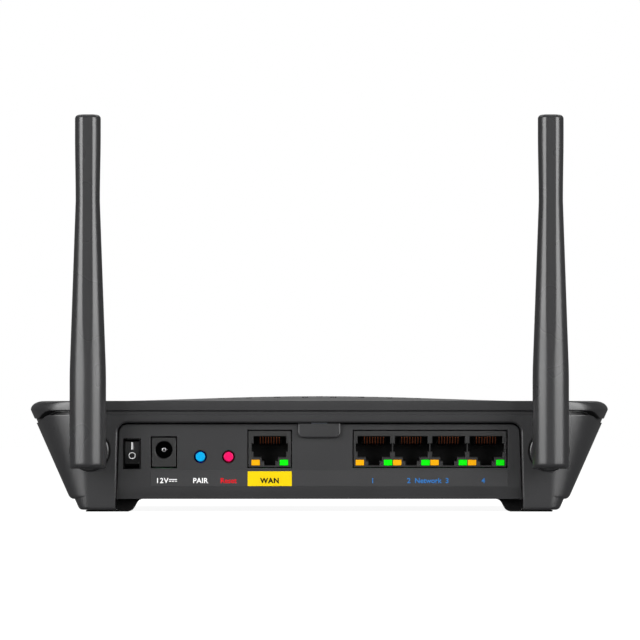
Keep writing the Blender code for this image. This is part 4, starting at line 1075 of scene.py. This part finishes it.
def dress_nodes(looks):
    """Materials for the CAD nodes that show as they are."""
    finish = {
        "main_board": "board", "main_processor": "chip", "memory_chip": "chip", "lan_transformer": "chip",
        "wan_transformer": "chip", "heat_sink": "aluminium", "radio_shield": "tin", "rating_label": "paper",
        "case_screw": "steel", "hinge_pin": "steel", "swivel_clip": "steel", "antenna_coax": "cable",
        "antenna_element": "gold", "status_light_pipe": "clear", "pair_tact": "chip", "reset_tact": "chip",
    }
    for name, node in frame["nodes"].items():
        for start, look in finish.items():
            if name.startswith(start):
                node.data.materials.clear()
                node.data.materials.append(looks[look])


# ---------------------------------------------------------------- stage


VIEW_DISTANCE = 1.8  # from the camera to the connector panel
FIELD = 239.0 * MM  # what the frame spans there
EYE_Z = 30.0 * MM
AIM_Z = 71.6 * MM
AIM_X = -0.26 * MM
OBJECT_Z = 60 * MM  # the height that tilted lights face
WORLD_LIGHT = 0.12  # what the white surroundings give as light; the camera sees them at 1


def make_camera():
    data = bpy.data.cameras.new("camera")
    data.sensor_width = 36.0
    data.lens = data.sensor_width * VIEW_DISTANCE / FIELD
    data.clip_end = 50
    camera = bpy.data.objects.new("camera", data)
    bpy.context.scene.collection.objects.link(camera)
    camera.location = (AIM_X, PANEL_Y + VIEW_DISTANCE, EYE_Z)
    aim = Vector((AIM_X, PANEL_Y, AIM_Z)) - camera.location
    camera.rotation_euler = aim.to_track_quat("-Z", "Y").to_euler()
    bpy.context.scene.camera = camera


def softbox(name, azimuth, distance, base, size, radiance, tilt=False):
    """A rectangular light, upright or tilted to face the object.

    azimuth is from +Y, positive towards -X; base is the height of its lower edge.
    """
    data = bpy.data.lights.new(name, "AREA")
    data.shape, data.size, data.size_y = "RECTANGLE", *size
    data.energy = radiance * pi * size[0] * size[1]
    light = bpy.data.objects.new(name, data)
    bpy.context.scene.collection.objects.link(light)
    a = radians(azimuth)
    light.location = (-distance * sin(a), distance * cos(a), base + size[1] / 2)
    aim = Vector((0, 0, OBJECT_Z if tilt else light.location.z))
    light.rotation_euler = (aim - light.location).to_track_quat("-Z", "Y").to_euler()
    light.visible_camera = False
    return light


def make_floor():
    """A pale paper sweep, which brightens to the backdrop's white away from the object."""
    floor = raw_object("floor", boxes(((-6, 6), (-6, 6), (-0.02, 0.0))))
    look = Look("floor_paper", roughness=0.9, Emission_Strength=1.0)
    away = look.node("ShaderNodeTexGradient", gradient_type="SPHERICAL")
    look.link(look.stretch((1.9, 1.9, 1.9)), away.inputs["Vector"])
    glow = look.ramp(away.outputs["Fac"], (0.0, (1, 1, 1)), (0.6, (0.92, 0.92, 0.92)))
    look.link(glow, look.shader.inputs["Emission Color"])
    look.colour(look.ramp(away.outputs["Fac"], (0.0, (0.05, 0.05, 0.05)), (0.6, (0.25, 0.25, 0.25))))
    look.rough(look.remap(look.noise(0.05, 2), (0.85, 0.95)))
    look.bump(look.noise(1 * MM, 2), 0.01 * MM)
    floor.data.materials.append(look.material)
    floor.visible_glossy = False
    floor.visible_diffuse = False


def make_studio():
    for side, sign in (("left", -1), ("right", 1)):
        softbox(f"strip_{side}", sign * 48, 1.2, 0.03, (1.05, 0.7), 9.0)
        softbox(f"front_{side}", sign * 140, 1.0, 0.9, (0.9, 0.5), 1.8, tilt=True)
    softbox("fill", 0, 2.6, -0.3, (1.6, 1.6), 0.38)
    softbox("backdrop", 180, 2.0, -0.05, (1.0, 0.5), 0.45)
    top = softbox("overhead", 0, 0.0, 1.1, (1.1, 1.1), 1.2)
    top.rotation_euler = (0, 0, 0)
    world = bpy.data.worlds.new("studio")
    bpy.context.scene.world = world
    world.use_nodes = True
    tree = world.node_tree
    backdrop = tree.nodes["Background"]
    backdrop.inputs["Color"].default_value = (1, 1, 1, 1)
    dim = tree.nodes.new("ShaderNodeBackground")
    dim.inputs["Color"].default_value = (1, 1, 1, 1)
    dim.inputs["Strength"].default_value = WORLD_LIGHT
    path = tree.nodes.new("ShaderNodeLightPath")
    mix = tree.nodes.new("ShaderNodeMixShader")
    tree.links.new(path.outputs["Is Camera Ray"], mix.inputs["Fac"])
    tree.links.new(dim.outputs[0], mix.inputs[1])
    tree.links.new(backdrop.outputs[0], mix.inputs[2])
    tree.links.new(mix.outputs[0], tree.nodes["World Output"].inputs["Surface"])
    bpy.context.scene.view_settings.view_transform = "Standard"


def main():
    make_camera()
    make_floor()
    make_studio()
    looks = make_looks()
    make_cover(looks)
    make_housing(looks)
    make_panel(looks)
    make_jack("wan_jack", ["wan"], looks)
    make_jack("lan_jack", [f"lan_{i}" for i in range(1, 5)], looks)
    for socket in SOCKETS:
        make_contacts(socket, looks)
    make_lamps(looks)
    make_power_socket(looks)
    make_switch(looks)
    make_buttons(looks)
    make_labels(looks)
    make_feet(looks)
    make_antenna("left", looks)
    make_antenna("right", looks)
    dress_nodes(looks)


main()
